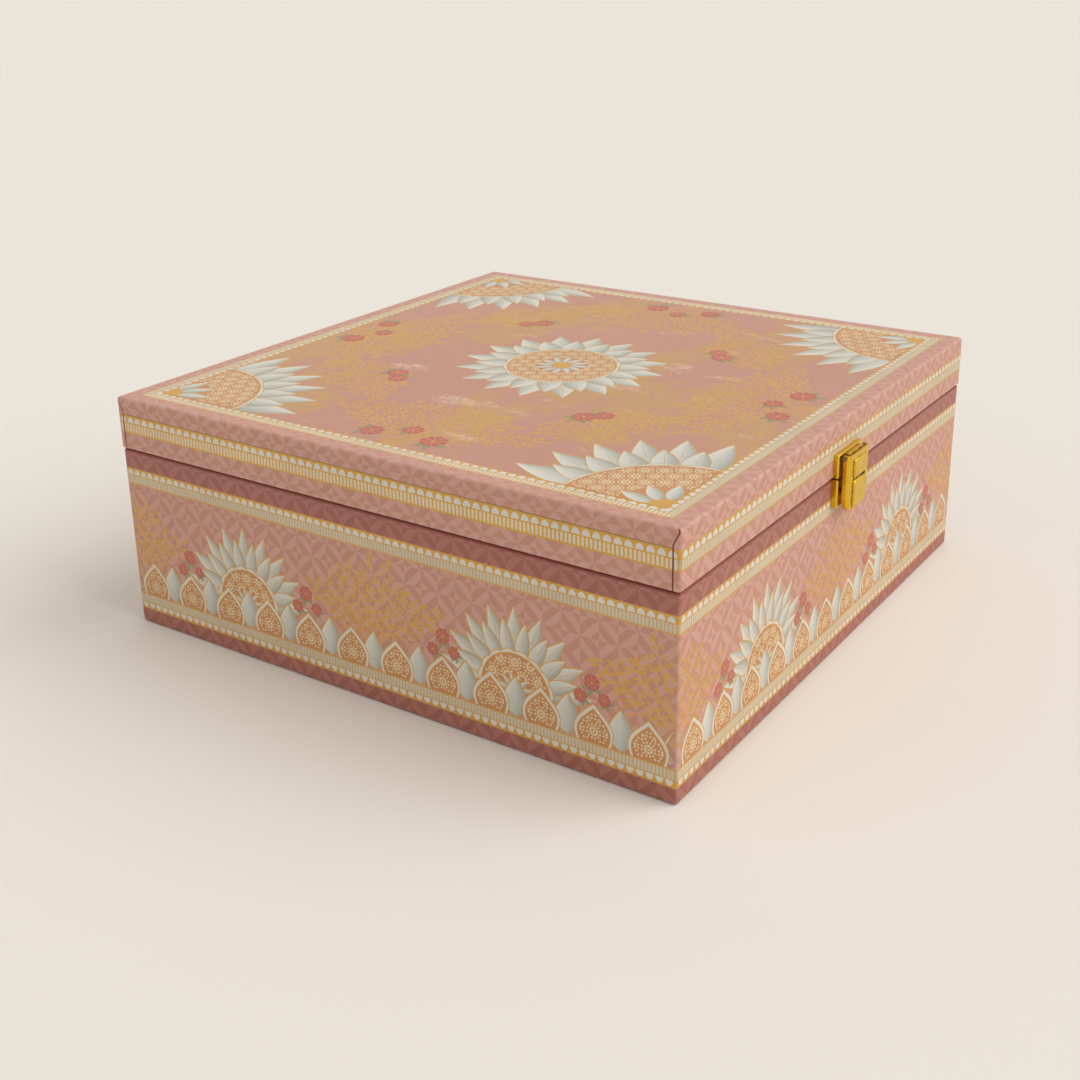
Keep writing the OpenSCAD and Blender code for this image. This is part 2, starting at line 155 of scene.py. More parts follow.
def add(tree, kind, inputs=None, **settings):
    """Adds a node with its settings; an input is a value, a socket, or a node that gives its first output."""
    node = tree.nodes.new("ShaderNode" + kind)
    for key, value in settings.items():
        setattr(node, key, value)
    for key, value in (inputs or {}).items():
        if isinstance(value, bpy.types.Node):
            value = value.outputs[0]
        if isinstance(value, bpy.types.NodeSocket):
            tree.links.new(value, node.inputs[key])
        else:
            node.inputs[key].default_value = value
    return node


def spots(mm):
    """The texture scale at which a pattern's spots are this many millimetres across."""
    return 1 / (mm * MM)


def new_material(name):
    material = bpy.data.materials.new(name)
    material.use_nodes = True
    return material, material.node_tree, material.node_tree.nodes["Principled BSDF"]


# Geometry: everything is laid out in millimetres and turned to metres when a piece is made

def new_piece(name, body, verts, faces, material, smooth=None, attributes=None):
    """A mesh piece that rides on a body. Verts are in metres; smooth is the sharpest angle still rounded."""
    mesh = bpy.data.meshes.new(name)
    mesh.from_pydata(verts, [], faces)
    mesh.validate()
    for key, values in (attributes or {}).items():
        mesh.attributes.new(key, "FLOAT", "POINT").data.foreach_set("value", values)
    work = bmesh.new()
    work.from_mesh(mesh)
    bmesh.ops.recalc_face_normals(work, faces=work.faces)
    work.to_mesh(mesh)
    work.free()
    if smooth is not None:
        mesh.shade_smooth()
        mesh.set_sharp_from_angle(angle=math.radians(smooth))
    mesh.materials.append(material)
    piece = bpy.data.objects.new(name, mesh)
    bpy.context.scene.collection.objects.link(piece)
    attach(piece, body)
    return piece


def loft(rings, closed=False):
    """Skin over rings of equally many points; the ends are capped unless the loft closes on itself."""
    count = len(rings[0])
    verts = [point for ring in rings for point in ring]
    faces = []
    for r in range(len(rings) if closed else len(rings) - 1):
        low, high = r * count, (r + 1) % len(rings) * count
        for i in range(count):
            j = (i + 1) % count
            faces.append((low + i, low + j, high + j, high + i))
    if not closed:
        faces.append(tuple(range(count)))
        faces.append(tuple(range(len(verts) - count, len(verts))))
    return verts, faces


def joined(*parts):
    """Several (verts, faces) as one."""
    verts, faces = [], []
    for part_verts, part_faces in parts:
        start = len(verts)
        verts += part_verts
        faces += [tuple(start + i for i in face) for face in part_faces]
    return verts, faces


def plan_ring(half, radius, z, slit=0.0, slit_at=SLIT_IN):
    """A square ring with rounded corners, in metres, with each point's share of a fold and of a slit.

    Places run along the paper from the middle of each corner, the left or right wall on the plus side.
    A slit of the given depth lies at slit_at."""
    arc = radius * math.pi / 4
    flat = half - radius
    turned = min(arc, slit_at - 0.05)
    past = slit_at + SLIT_WIDE + 0.1
    places = [(-arc - 0.4, 0)] + [(-arc + (turned + arc) * i / 6, 0) for i in range(7)]
    places += [(slit_at, 0), (slit_at + 0.04, 1), (slit_at + SLIT_WIDE - 0.04, 1), (slit_at + SLIT_WIDE, 0)]
    places += [(past + (SLIT_IN + 1.2 - past) * i / 3, 0) for i in range(4)]
    corner_points = []
    for s, inside in places:
        a = min(max(math.pi / 4 - s / radius, 0), math.pi / 2)
        run_x, run_y = max(0, -arc - s), max(0, s - arc)
        r = radius - slit * inside
        bend = 0.5 * math.cos(math.pi / 2 * s / arc) if abs(s) < arc else 0.0
        corner_points.append((flat - run_x + r * math.cos(a), flat - run_y + r * math.sin(a), bend,
                              inside if slit else 0.0))
    points = []
    for cx, cy in ((1, -1), (1, 1), (-1, 1), (-1, -1)):
        for x, y, bend, inside in corner_points if cx * cy < 0 else corner_points[::-1]:
            points.append((cx * x * MM, cy * y * MM, z * MM, bend, inside))
    return points


def folded_sheet(name, body, rows, material, closed):
    """Paper folded round boards, from rows of (half width, corner radius, height, fold) and maybe a slit."""
    rings = [plan_ring(half, radius, z, *slit) for half, radius, z, fold, *slit in rows]
    bends = [max(point[3], row[3]) for ring, row in zip(rings, rows) for point in ring]
    slits = [point[4] for ring in rings for point in ring]
    verts, faces = loft([[point[:3] for point in ring] for ring in rings], closed)
    return new_piece(name, body, verts, faces, material, smooth=50,
                     attributes={"fold": bends, "slit": slits})


def fold_rows(half, z, radius, turn_from, turn_to, corner, slit=0.0):
    """Rows round one folded edge: the arc's centre is (half, z), angles in degrees from outwards to up."""
    rows = []
    for i in range(FOLD_STEPS + 1):
        a = math.radians(turn_from + (turn_to - turn_from) * i / FOLD_STEPS)
        fold = math.sin(math.pi * i / FOLD_STEPS)
        rows.append((half + radius * math.cos(a), corner, z + radius * math.sin(a), fold, slit))
    return rows


def rim_rows(half, lined, z, way, slit=0.0):
    """Rows over a rim at height z and along its inside; way is 1 for a rim that points up, -1 for down."""
    turn, centre = 90 * way, z - way * RIM_FOLD
    rows = fold_rows(half - RIM_FOLD, centre, RIM_FOLD, 0, turn, CORNER, slit)
    rows.append((lined + RIM_FOLD + 0.4, 0.6, z, 0))
    rows += fold_rows(lined + RIM_FOLD, centre, RIM_FOLD, turn, 2 * turn, 0.6)
    end = z - way * TURN_IN
    return rows + [(lined, 0.4, centre - way * 0.4, 0), (lined, 0.4, end, 0), (lined + PAPER, 0.4, end, 0)]


# Flat shapes of ink: (points, faces, shades), in millimetres

def polygon(points, shade=0.0):
    return points, [tuple(range(len(points)))], [shade] * len(points)


def moved(shape, at=(0.0, 0.0), turn=0.0, size=1.0, flip=False):
    points, faces, shades = shape
    c, s = math.cos(turn) * size, math.sin(turn) * size
    side = -1 if flip else 1
    placed = [(at[0] + side * (x * c - y * s), at[1] + x * s + y * c) for x, y in points]
    return placed, faces, shades


def petal(foot, tip, wide, grow=0.0):
    """Pointed petal from foot to tip along Y; grow widens it all round for the outline laid under it."""
    # Lit along its left side and grey along its right, and widest a little below its middle
    steps, bulge, shades = 9, 0.8, (0.0, 0.25, 0.9)
    rows = []
    for i in range(steps + 1):
        t = i / steps
        y = foot - grow + t * (tip - foot + 2.6 * grow)
        half = 0.0 if i in (0, steps) else wide / 2 * math.sin(math.pi * t ** bulge) + grow
        root = 0.45 * (1 - t) ** 2
        if half == 0.0:
            rows.append([(0.0, y, shades[1] + root)])
        else:
            rows.append([(half * k, y, shades[n] + root) for n, k in enumerate((-1, 0, 1))])
    points = [(x, y) for row in rows for x, y, shade in row]
    shade = [min(1.0, s) for row in rows for x, y, s in row]
    last = len(points) - 1
    faces = [(0, 2, 1), (0, 3, 2), (last, last - 3, last - 2), (last, last - 2, last - 1)]
    for i in range(steps - 2):
        a = 1 + 3 * i
        faces += [(a, a + 1, a + 4, a + 3), (a + 1, a + 2, a + 5, a + 4)]
    return points, faces, shade


def fan(inner, outer, start, end, steps, scallops=0, depth=0.0, shades=(0.0, 0.0)):
    """Part of a ring between two radii and two angles in degrees, its rim scalloped if asked."""
    points, shade = [], []
    whole = end - start >= 360
    count = steps if whole else steps + 1
    for i in range(count):
        t = i / steps
        a = math.radians(start + (end - start) * t)
        rim = outer - depth + depth * abs(math.sin(math.pi * scallops * t))
        for r, tone in ((inner, shades[0]), (rim, shades[1])):
            points.append((r * math.cos(a), r * math.sin(a)))
            shade.append(tone)
    if inner == 0.0:
        return polygon(points[1::2] + ([] if whole else [(0.0, 0.0)]), shades[1])
    faces = [(2 * i, 2 * i + 1, (2 * i + 3) % (2 * count), (2 * i + 2) % (2 * count)) for i in range(steps)]
    return points, faces, shade


def disc(radius, sides, scallops=0, depth=0.0):
    points = []
    for i in range(sides):
        rim = radius - depth + depth * abs(math.sin(math.pi * scallops * i / sides))
        points.append((rim * math.cos(2 * math.pi * i / sides), rim * math.sin(2 * math.pi * i / sides)))
    return polygon(points)


def stroke(line, wide, tip):
    """A ribbon along a line of points, from one width to another."""
    left, right = [], []
    for i, (x, y) in enumerate(line):
        x0, y0 = line[max(i - 1, 0)]
        x1, y1 = line[min(i + 1, len(line) - 1)]
        long = math.hypot(x1 - x0, y1 - y0)
        half = (wide + (tip - wide) * i / (len(line) - 1)) / 2
        nx, ny = -(y1 - y0) / long * half, (x1 - x0) / long * half
        left.append((x + nx, y + ny))
        right.append((x - nx, y - ny))
    n = len(line)
    faces = [(n + i, n + i + 1, i + 1, i) for i in range(n - 1)]
    return left + right, faces, [0.0] * (2 * n)


def leaf(long, wide):
    half = wide / 2
    return polygon([(0, 0), (half, 0.32 * long), (0.8 * half, 0.65 * long), (0, long),
                    (-0.8 * half, 0.65 * long), (-half, 0.32 * long)])


def jali(inside, reach, pitch, shift=(0.0, 0.0)):
    """Strokes of a pierced screen: ringed stars on a triangular grid, kept where inside(x, y) holds."""
    shapes = []
    row_height = pitch * math.sqrt(3) / 2
    rows = int(reach / row_height) + 1
    columns = int(reach / pitch) + 2
    for j in range(-rows, rows + 1):
        for i in range(-columns, columns + 1):
            cx = shift[0] + (i + 0.5 * (j % 2)) * pitch
            cy = shift[1] + j * row_height
            if inside(cx, cy):
                shapes.append(moved(disc(0.08 * pitch, 8), (cx, cy)))
            # Two rings of twelve petals: where they start and end and half their width, in parts of the pitch
            for ring, (near, far, wide) in enumerate(((0.12, 0.3, 0.075), (0.31, 0.49, 0.072))):
                for k in range(12):
                    a = math.pi / 6 * (k + 0.5 * ring)
                    ends = [(cx + r * pitch * math.cos(a), cy + r * pitch * math.sin(a)) for r in (near, far)]
                    if all(inside(x, y) for x, y in ends):
                        mid = ((ends[0][0] + ends[1][0]) / 2, (ends[0][1] + ends[1][1]) / 2)
                        nx, ny = -math.sin(a) * wide * pitch, math.cos(a) * wide * pitch
                        shapes.append(polygon([ends[0], (mid[0] - nx, mid[1] - ny), ends[1],
                                               (mid[0] + nx, mid[1] + ny)]))
    return shapes


class Print:
    """Ink shapes for one sheet of paper, gathered by ink. place(u, v, out) lays a point on the paper."""

    def __init__(self, place):
        self.place = place
        self.inks = {}

    def lay(self, ink, level, shape, at=(0.0, 0.0), turn=0.0, size=1.0, flip=False):
        """Each shape is a closed flake of ink, a step higher for each level."""
        points, faces, shades = moved(shape, at, turn, size, flip)
        verts, all_faces, all_shades = self.inks.setdefault(ink, ([], [], []))
        start, count = len(verts), len(points)
        verts += [self.place(x, y, (level + 1) * INK_STEP) for x, y in points]
        verts += [self.place(x, y, -INK_SINK) for x, y in points]
        all_shades += list(shades) * 2
        edges = set()
        for face in faces:
            all_faces.append(tuple(start + i for i in face))
            all_faces.append(tuple(start + count + i for i in reversed(face)))
            edges |= {(face[i - 1], face[i]) for i in range(len(face))}
        for a, b in sorted(edges):
            if (b, a) not in edges:
                all_faces.append((start + b, start + a, start + count + a, start + count + b))

    def lay_motif(self, motif, at, turn=0.0, size=1.0, flip=False, up=0):
        for ink, level, shape in motif:
            self.lay(ink, level + up, shape, at, turn, size, flip)

    def strip(self, ink, u0, u1, v0, v1, half):
        """A straight band round the walls, cut up where it bends round the corners."""
        cuts = [u0, u1]
        for corner in range(8):
            at = (2 * corner - 1) * half
            cuts += [at + CORNER * k / 4 for k in range(-4, 5) if u0 < at + CORNER * k / 4 < u1]
        cuts = sorted(set(cuts))
        n = len(cuts)
        points = [(u, v0) for u in cuts] + [(u, v1) for u in cuts]
        faces = [(i, i + 1, n + i + 1, n + i) for i in range(n - 1)]
        self.lay(ink, 0, (points, faces, [0.0] * (2 * n)))

    def pieces(self, prefix, body, materials):
        for ink in sorted(self.inks):
            verts, faces, shades = self.inks[ink]
            new_piece(f"{prefix}_{ink}_ink", body, verts, faces, materials[ink],
                      attributes={"shade": shades})


def wall_place(half):
    """Lays a point on the four walls: u runs round them from the middle of the front, v is the height."""
    # Which way each wall faces, and which way u runs along it
    sides = [(0, -1, 1, 0), (1, 0, 0, 1), (0, 1, -1, 0), (-1, 0, 0, -1)]
    flat = half - CORNER

    def place(u, v, out):
        side = math.floor((u + half) / (2 * half))
        ox, oy, ax, ay = sides[side % 4]
        u -= side * 2 * half
        if abs(u) <= flat:
            away, along = half + out, u
        else:
            turn = (abs(u) - flat) / CORNER * math.pi / 4
            away = flat + (CORNER + out) * math.cos(turn)
            along = math.copysign(flat + (CORNER + out) * math.sin(turn), u)
        return (ox * away + ax * along) * MM, (oy * away + ay * along) * MM, v * MM

    return place


def top_place(x, y, out):
    return x * MM, y * MM, (LID_TOP - INK_ROOM + out) * MM


def rim_place(side):
    """Lays a point beside one edge of the lid's top: u runs along the edge, v is measured inwards."""
    c, s = [(1, 0), (0, 1), (-1, 0), (0, -1)][side]

    def place(u, v, out):
        y = v - LID_HALF
        return top_place(u * c - y * s, u * s + y * c, out)

    return place


def clipped(points, sides):
    """The part of a convex outline within every side (a, b, c), where a * u + b * v is at most c."""
    for a, b, c in sides:
        kept = []
        for (u0, v0), (u1, v1) in zip(points, points[1:] + points[:1]):
            d0, d1 = a * u0 + b * v0 - c, a * u1 + b * v1 - c
            if d0 <= 0:
                kept.append((u0, v0))
            if d0 * d1 < 0:
                t = d0 / (d0 - d1)
                kept.append((u0 + (u1 - u0) * t, v0 + (v1 - v0) * t))
        points = kept
    return points


def wall_border(sheet, edge, grow, height, half, bead_pitch, bar_pitch, slits=()):
    """The border round the four walls, cut at the slits."""
    ends = [-half, *[u for slit in slits for u in slit], 7 * half]
    clear = list(zip(ends[::2], ends[1::2]))
    k = height / BORDER_HEIGHT
    for i, (u0, u1) in enumerate(clear):
        for ink, low, high in BORDER_ROWS:
            ink = ink or BAR_INKS[i % 2][0]
            sheet.strip(ink, u0, u1, edge + grow * low * k, edge + grow * high * k, half)
        if slits and i % 2:
            sheet.strip("umber", u0, u1, edge + height, edge + height + HAIRLINE, half)
    for side in range(4):
        reach = half - CORNER
        regions = [[(-1, 0, -u0), (1, 0, u1)] for u0, u1 in clear
                   if u0 < 2 * side * half + reach and u1 > 2 * side * half - reach]
        bars = BAR_INKS[side % 2 if slits else 0][1], WALL_BARS
        border_flakes(sheet, edge, grow, height, 2 * side * half, reach, bead_pitch, bar_pitch, bars, regions)


def frame_border(sheet, edge, height, bead_pitch, bar_pitch, ground, bars):
    """One side of the frame on the lid's top, mitred at its ends."""
    mitre = [(1, 1, LID_HALF), (-1, 1, LID_HALF)]
    k = height / BORDER_HEIGHT
    for ink, low, high in BORDER_ROWS:
        a, b = edge + low * k, edge + high * k
        row = [(-LID_HALF, a), (LID_HALF, a), (LID_HALF, b), (-LID_HALF, b)]
        sheet.lay(ink or ground, 0, polygon(clipped(row, mitre)))
    reach = LID_HALF - edge
    border_flakes(sheet, edge, 1, height, 0, reach, bead_pitch, bar_pitch, (bars, TOP_BARS), [mitre])


def border_flakes(sheet, edge, grow, height, middle, reach, bead_pitch, bar_pitch, bar_look, regions):
    """Balusters, of an ink and a share of their pitch, and beads along one run, kept within the regions."""
    k = height / BORDER_HEIGHT
    bar_ink, share = bar_look
    bars = 2 * round(reach / bar_pitch)
    beads = 2 * round(reach / bead_pitch)
    bar, bead = reach / bars, reach / beads
    w = share * bar
    bar_outline = [(w, 0.65), (w, 3.6), (0.5 * w, 3.85), (-0.5 * w, 3.85), (-w, 3.6), (-w, 0.65)]
    bead_outline = [(0.8 * bead * math.cos(a), 4.3 + 2.1 * math.sin(a) ** 0.85)
                    for a in [math.pi * i / 10 for i in range(11)]]
    for ink, outline, count, half in ((bar_ink, bar_outline, bars, bar), ("bead", bead_outline, beads, bead)):
        for i in range(count):
            at = middle - reach + (2 * i + 1) * half
            points = [(at + x, edge + grow * y * k) for x, y in outline]
            for region in regions:
                part = clipped(points, region)
                if len(part) > 2:
                    sheet.lay(ink, 1, polygon(part))


def lotus(tip, petals, start, end, screen, heart):
    """Rows of outlined petals round a ring of pierced screen, between two angles in degrees."""
    motif = []
    step = (end - start) / petals
    whole = end - start >= 360
    foot = 0.82 * screen
    for row, reach in ((0, tip), (1, 0.84 * tip)):
        widest = foot + 0.42 * (reach - foot)
        wide = math.radians(step) * widest - 0.9
        angles = [start + (i + 0.5) * step for i in range(petals)]
        if row:
            angles = [start + i * step for i in range(0 if whole else 1, petals)]
        for a in angles:
            turn = math.radians(a - 90)
            motif.append(("gold", 3 * row, moved(petal(foot, reach, wide, 0.36), turn=turn)))
            motif.append(("ivory", 3 * row + 1, moved(petal(foot, reach, wide), turn=turn)))
            vein = [(0, foot + (reach - foot) * k) for k in (0.45, 0.65, 0.88)]
            motif.append(("gold", 3 * row + 2, moved(stroke(vein, 0.3, 0.1), turn=turn)))
    scallops = max(3, round((end - start) * 4 / 90))
    steps = scallops * 8
    rings = [("gold", 6, 0.0, screen + 1.7, 0.9), ("ivory", 7, 0.55 * heart, screen + 1.3, 0.9),
             ("gold", 8, 0.0, screen + 0.1, 0.0), ("terracotta", 9, 0.0, screen - 0.35, 0.0)]
    for ink, level, inner, outer, depth in rings:
        motif.append((ink, level, fan(inner, outer, start, end, steps, scallops, depth, (0.6, 0.1))))

    def in_screen(x, y):
        r = math.hypot(x, y)
        a = math.degrees(math.atan2(y, x))
        a = a if a >= start - 1 else a + 360
        return heart * 1.05 < r < screen - 0.6 and start + 1 <= a <= end - 1

    motif += [("straw", 10, shape) for shape in jali(in_screen, screen, 6.4)]
    inner_petals = max(3, round((end - start) / 30))
    inner_step = (end - start) / inner_petals
    wide = math.radians(inner_step) * heart * 0.68 - 0.5
    for i in range(inner_petals):
        turn = math.radians(start + (i + 0.5) * inner_step - 90)
        motif.append(("gold", 11, moved(petal(0.35 * heart, heart * 1.2, wide, 0.22), turn=turn)))
        motif.append(("ivory", 12, moved(petal(0.35 * heart, heart * 1.2, wide), turn=turn)))
    motif.append(("gold", 13, fan(0.0, heart * 0.42, start, end, 16)))
    return motif


def sprig(stems, height, spread, seed):
    """Fine curved stems that fan out from one foot, with leafy twigs on both sides and no leaf on another."""
    draw = random.Random(seed)
    # Twigs stand clear of each other by this much, and leaves by more
    twig_room, leaf_room = 0.45, 1.1
    motif, laid, drawn = [], [], []
    for i in range(stems):
        lean = (i / (stems - 1) - 0.5) * 2
        tall = height * (1 - 0.38 * abs(lean)) * draw.uniform(0.88, 1.06)
        root = 0.5 * (i - (stems - 1) / 2)
        line = [(root + lean * spread * (k / 24) ** 1.5, tall * k / 24) for k in range(25)]
        motif.append(("gold", 0, stroke(line, 0.4, 0.18)))
        for k in range(6, 25):
            x, y = line[k]
            side = 1 if k % 2 else -1
            aside = side * draw.uniform(0.5, 0.95) if k < 24 else 0
            turn = math.atan2(y - line[k - 1][1], x - line[k - 1][0]) + aside
            long = draw.uniform(5.0, 7.6) * (1.2 - 0.4 * k / 24)
            ahead = (long / 10 * math.cos(turn), long / 10 * math.sin(turn))
            twig = [(x + n * ahead[0], y + n * ahead[1]) for n in range(11)]
            leaves = 0
            for n, aside in ((2, 0.75), (4, -0.75), (6, 0.75), (8, -0.75), (10, 0)):
                aim = turn + aside
                spots = [(twig[n][0] + r * math.cos(aim), twig[n][1] + r * math.sin(aim))
                         for r in (0.5, 1.4, 2.3)]
                if all(math.dist(a, b) > leaf_room for a in spots for b in laid):
                    laid += spots
                    leaves += 1
                    motif.append(("gold", 1, moved(leaf(2.7, 1.3), twig[n], aim - math.pi / 2)))
            if leaves > 1 and all(math.dist(a, b) > twig_room for a in twig[2:] for b in drawn):
                drawn += twig[2:]
                motif.append(("gold", 2, stroke(twig, 0.24, 0.14)))
    return motif


def blossom():
    """Round scalloped flower with gold veins and two leaves."""
    motif = [("leaf", 0, moved(leaf(4.4, 1.9), (0, -1), math.radians(a))) for a in (118, 165, -128)]
    motif.append(("rose", 1, disc(3.2, 40, 8, 0.55)))
    for k in range(8):
        line = [(r * math.cos(math.pi * k / 4), r * math.sin(math.pi * k / 4)) for r in (0.9, 1.6, 2.4)]
        motif.append(("gold", 2, stroke(line, 0.14, 0.3)))
    motif.append(("gold", 2, disc(0.55, 8)))
    return motif


def frieze_petal(wide, tall):
    """Standing petal filled with pierced screen, outlined in ivory and gold."""
    def outline(grow):
        points = []
        for i in range(17):
            t = i / 16
            half = (wide / 2 + grow) * (1 - t ** 2.3) * (0.84 + 0.25 * math.sin(math.pi * t))
            points.append((half, t * (tall + 1.5 * grow)))
        return points

    def shape(grow):
        right = outline(grow)
        return polygon(right[:-1] + [(0, right[-1][1])] + [(-x, y) for x, y in right[-2::-1]], 0.1)

    limit = outline(-1.7)

    def inside(x, y):
        if not 0.5 < y < limit[-1][1]:
            return False
        k = min(15, int(y / (tall - 2.55) * 16))
        return abs(x) < limit[k][0]

    motif = [("gold", 0, shape(0.35)), ("ivory", 1, shape(0)), ("gold", 2, shape(-0.95)),
             ("terracotta", 3, shape(-1.3))]
    return motif + [("straw", 4, one) for one in jali(inside, wide, 6.4, (0, 4.4))]


def wall_motifs(sheet, half, foot, settings):
    """The pink panel: a row of petals along its foot, half lotuses, leaf sprigs and blossoms above."""
    tall = settings.lotus_height / MM
    pitch = half / 6
    front_petal = frieze_petal(15.6, 14.6)
    flute = [("gold", 0, petal(0, 15.5, 9.5, 0.38)), ("ivory", 1, petal(0, 15.5, 9.5))]
    rising = lotus(tall, 9, 0, 180, 14.5, 6.2)
    fern = sprig(9, 33, 26, 3)
    flower = blossom()
    for side in range(4):
        middle = side * 2 * half
        for i in range(12):
            u = middle - half + (i + 0.5) * pitch
            sheet.lay_motif(front_petal, (u, foot), up=FRIEZE)
            sheet.lay_motif(flute, (middle - half + i * pitch, foot), up=FLUTE)
        for quarter in (-0.5, 0.5):
            sheet.lay_motif(rising, (middle + quarter * half, foot + 10), up=LOTUS)
        sheet.lay_motif(fern, (middle, foot + 8), up=SPRIG)
        sheet.lay_motif(fern, (middle + half, foot + 8), flip=True, up=SPRIG)
        for place in (-0.745, -0.255, 0.255, 0.745):
            u = middle + place * half
            sheet.lay_motif(flower, (u, foot + 22.5), up=BLOSSOM)
            sheet.lay_motif(flower, (u + 4.8, foot + 17.2), turn=0.6, size=0.8, up=BLOSSOM + 3)
            sheet.lay_motif(flower, (u - 4.6, foot + 16.4), turn=1.2, size=0.85, up=BLOSSOM + 3)


def top_motifs(sheet, field):
    """The lid's picture: a lotus in the middle, quarter lotuses in the corners, sprigs between them."""
    middle = lotus(44, 16, 0, 360, 23, 10)
    corner = lotus(64, 6, 0, 90, 38, 17)
    fern = sprig(11, 48, 42, 5)
    small = sprig(7, 30, 22, 9)
    flower = blossom()
    # The blossoms beside each fern: place, size, and how far one stands over the next
    blossoms = ((-14, -field + 9, 1.5, 0), (13, -field + 11, 1.7, 0), (-1, -field + 17, 1.3, 3),
                       (-47, -50, 1.3, 0), (-52, -44, 1.5, 3))
    sheet.lay_motif(middle, (0, 0), up=LOTUS)
    for side in range(4):
        turn = math.pi / 2 * side
        c, s = math.cos(turn), math.sin(turn)

        def at(x, y):
            return x * c - y * s, x * s + y * c

        sheet.lay_motif(corner, at(-field, -field), turn, up=LOTUS)
        sheet.lay_motif(fern, at(0, -field), turn, up=SPRIG)
        sheet.lay_motif(small, at(-44, -44), turn + math.pi * 3 / 4, up=SPRIG + 3)
        for x, y, size, up in blossoms:
            sheet.lay_motif(flower, at(x, y), turn + x, size, up=BLOSSOM + up)


# Finishes

# The inks as the settings call them, and their materials
INK_NAMES = {"gold": "gold_bronze_ink", "tan": "tan_offset_ink", "cream": "cream_offset_ink",
             "stone": "stone_offset_ink", "umber": "umber_offset_ink", "bead": "white_offset_ink",
             "straw": "straw_offset_ink", "ivory": "ivory_offset_ink", "terracotta": "terracotta_offset_ink",
             "rose": "rose_offset_ink", "leaf": "green_offset_ink"}


def tonal_lattice():
    """Node group: 1 on the light tone of a lattice of squares stood on their corners, 0 on the dark one."""
    # Half the side of the small square inside each, as a part of the pitch
    inner_half = 3.45 / 14.7
    tree = bpy.data.node_groups.new("tonal_lattice", "ShaderNodeTree")
    for name, way in (("Across", "INPUT"), ("Up", "INPUT"), ("Tone", "OUTPUT")):
        tree.interface.new_socket(name, in_out=way, socket_type="NodeSocketFloat")
    source = tree.nodes.new("NodeGroupInput").outputs
    result = tree.nodes.new("NodeGroupOutput")
    # Squares are counted along both diagonals; their middles are at 0.5
    rising = add(tree, "Math", {0: source["Across"], 1: source["Up"]}, operation="ADD")
    falling = add(tree, "Math", {0: source["Across"], 1: source["Up"]}, operation="SUBTRACT")
    cells, offsets, sizes = [], [], []
    for diagonal in (rising, falling):
        cells.append(add(tree, "Math", {0: diagonal}, operation="FLOOR"))
        within = add(tree, "Math", {0: diagonal}, operation="FRACT")
        offsets.append(add(tree, "Math", {0: within, 1: 0.5}, operation="SUBTRACT"))
        sizes.append(add(tree, "Math", {0: offsets[-1]}, operation="ABSOLUTE"))
    row = add(tree, "Math", {0: cells[0], 1: cells[1]}, operation="SUBTRACT")
    kind = add(tree, "Math", {0: row, 1: 3.0}, operation="FLOORED_MODULO")
    # Rows repeat by threes: one is shaded by halves, and the next two by opposite quarters
    to_right = add(tree, "Math", {0: offsets[0], 1: offsets[1]}, operation="ADD")
    by_half = add(tree, "Math", {0: to_right, 1: 0.0}, operation="GREATER_THAN")
    by_quarter = add(tree, "Math", {0: sizes[1], 1: sizes[0]}, operation="GREATER_THAN")
    is_half = add(tree, "Math", {0: kind, 1: 0.5}, operation="LESS_THAN")
    is_turned = add(tree, "Math", {0: kind, 1: 1.5}, operation="GREATER_THAN")
    quarter = add(tree, "Math", {0: by_quarter, 1: is_turned}, operation="SUBTRACT")
    quarter = add(tree, "Math", {0: quarter}, operation="ABSOLUTE")
    tone = add(tree, "Mix", {0: is_half, 2: quarter, 3: by_half})
    # A smaller square inside each has its tones the other way round
    size = add(tree, "Math", {0: sizes[0], 1: sizes[1]}, operation="MAXIMUM")
    inner = add(tree, "Math", {0: size, 1: inner_half}, operation="LESS_THAN")
    tone = add(tree, "Math", {0: tone, 1: inner}, operation="SUBTRACT")
    tree.links.new(add(tree, "Math", {0: tone}, operation="ABSOLUTE").outputs[0], result.inputs[0])
    return tree


def upright_plan(tree, x, y, z, on_end):
    """Across and up on the base's walls, each seen from outside."""
    runs = []
    for a, b, way in ((x, y, -1.0), (y, x, 1.0)):
        sign = add(tree, "Math", {0: b}, operation="SIGN")
        sign = add(tree, "Math", {0: sign, 1: way}, operation="MULTIPLY")
        runs.append(add(tree, "Math", {0: a, 1: sign}, operation="MULTIPLY"))
    return add(tree, "Mix", {0: on_end, 2: runs[0], 3: runs[1]}), z


def unfolded_plan(tree, x, y, z, on_end):
    """Across and up on the lid's sheet as it was cut, with its walls in the plane of the top."""
    drop = add(tree, "Math", {0: LID_TOP * MM, 1: z}, operation="SUBTRACT")
    on_side = add(tree, "Math", {0: 1.0, 1: on_end}, operation="SUBTRACT")
    plan = []
    for axis, here in ((x, on_end), (y, on_side)):
        sign = add(tree, "Math", {0: axis}, operation="SIGN")
        outwards = add(tree, "Math", {0: sign, 1: here}, operation="MULTIPLY")
        plan.append(add(tree, "Math", {0: outwards, 1: drop, 2: axis}, operation="MULTIPLY_ADD"))
    return plan


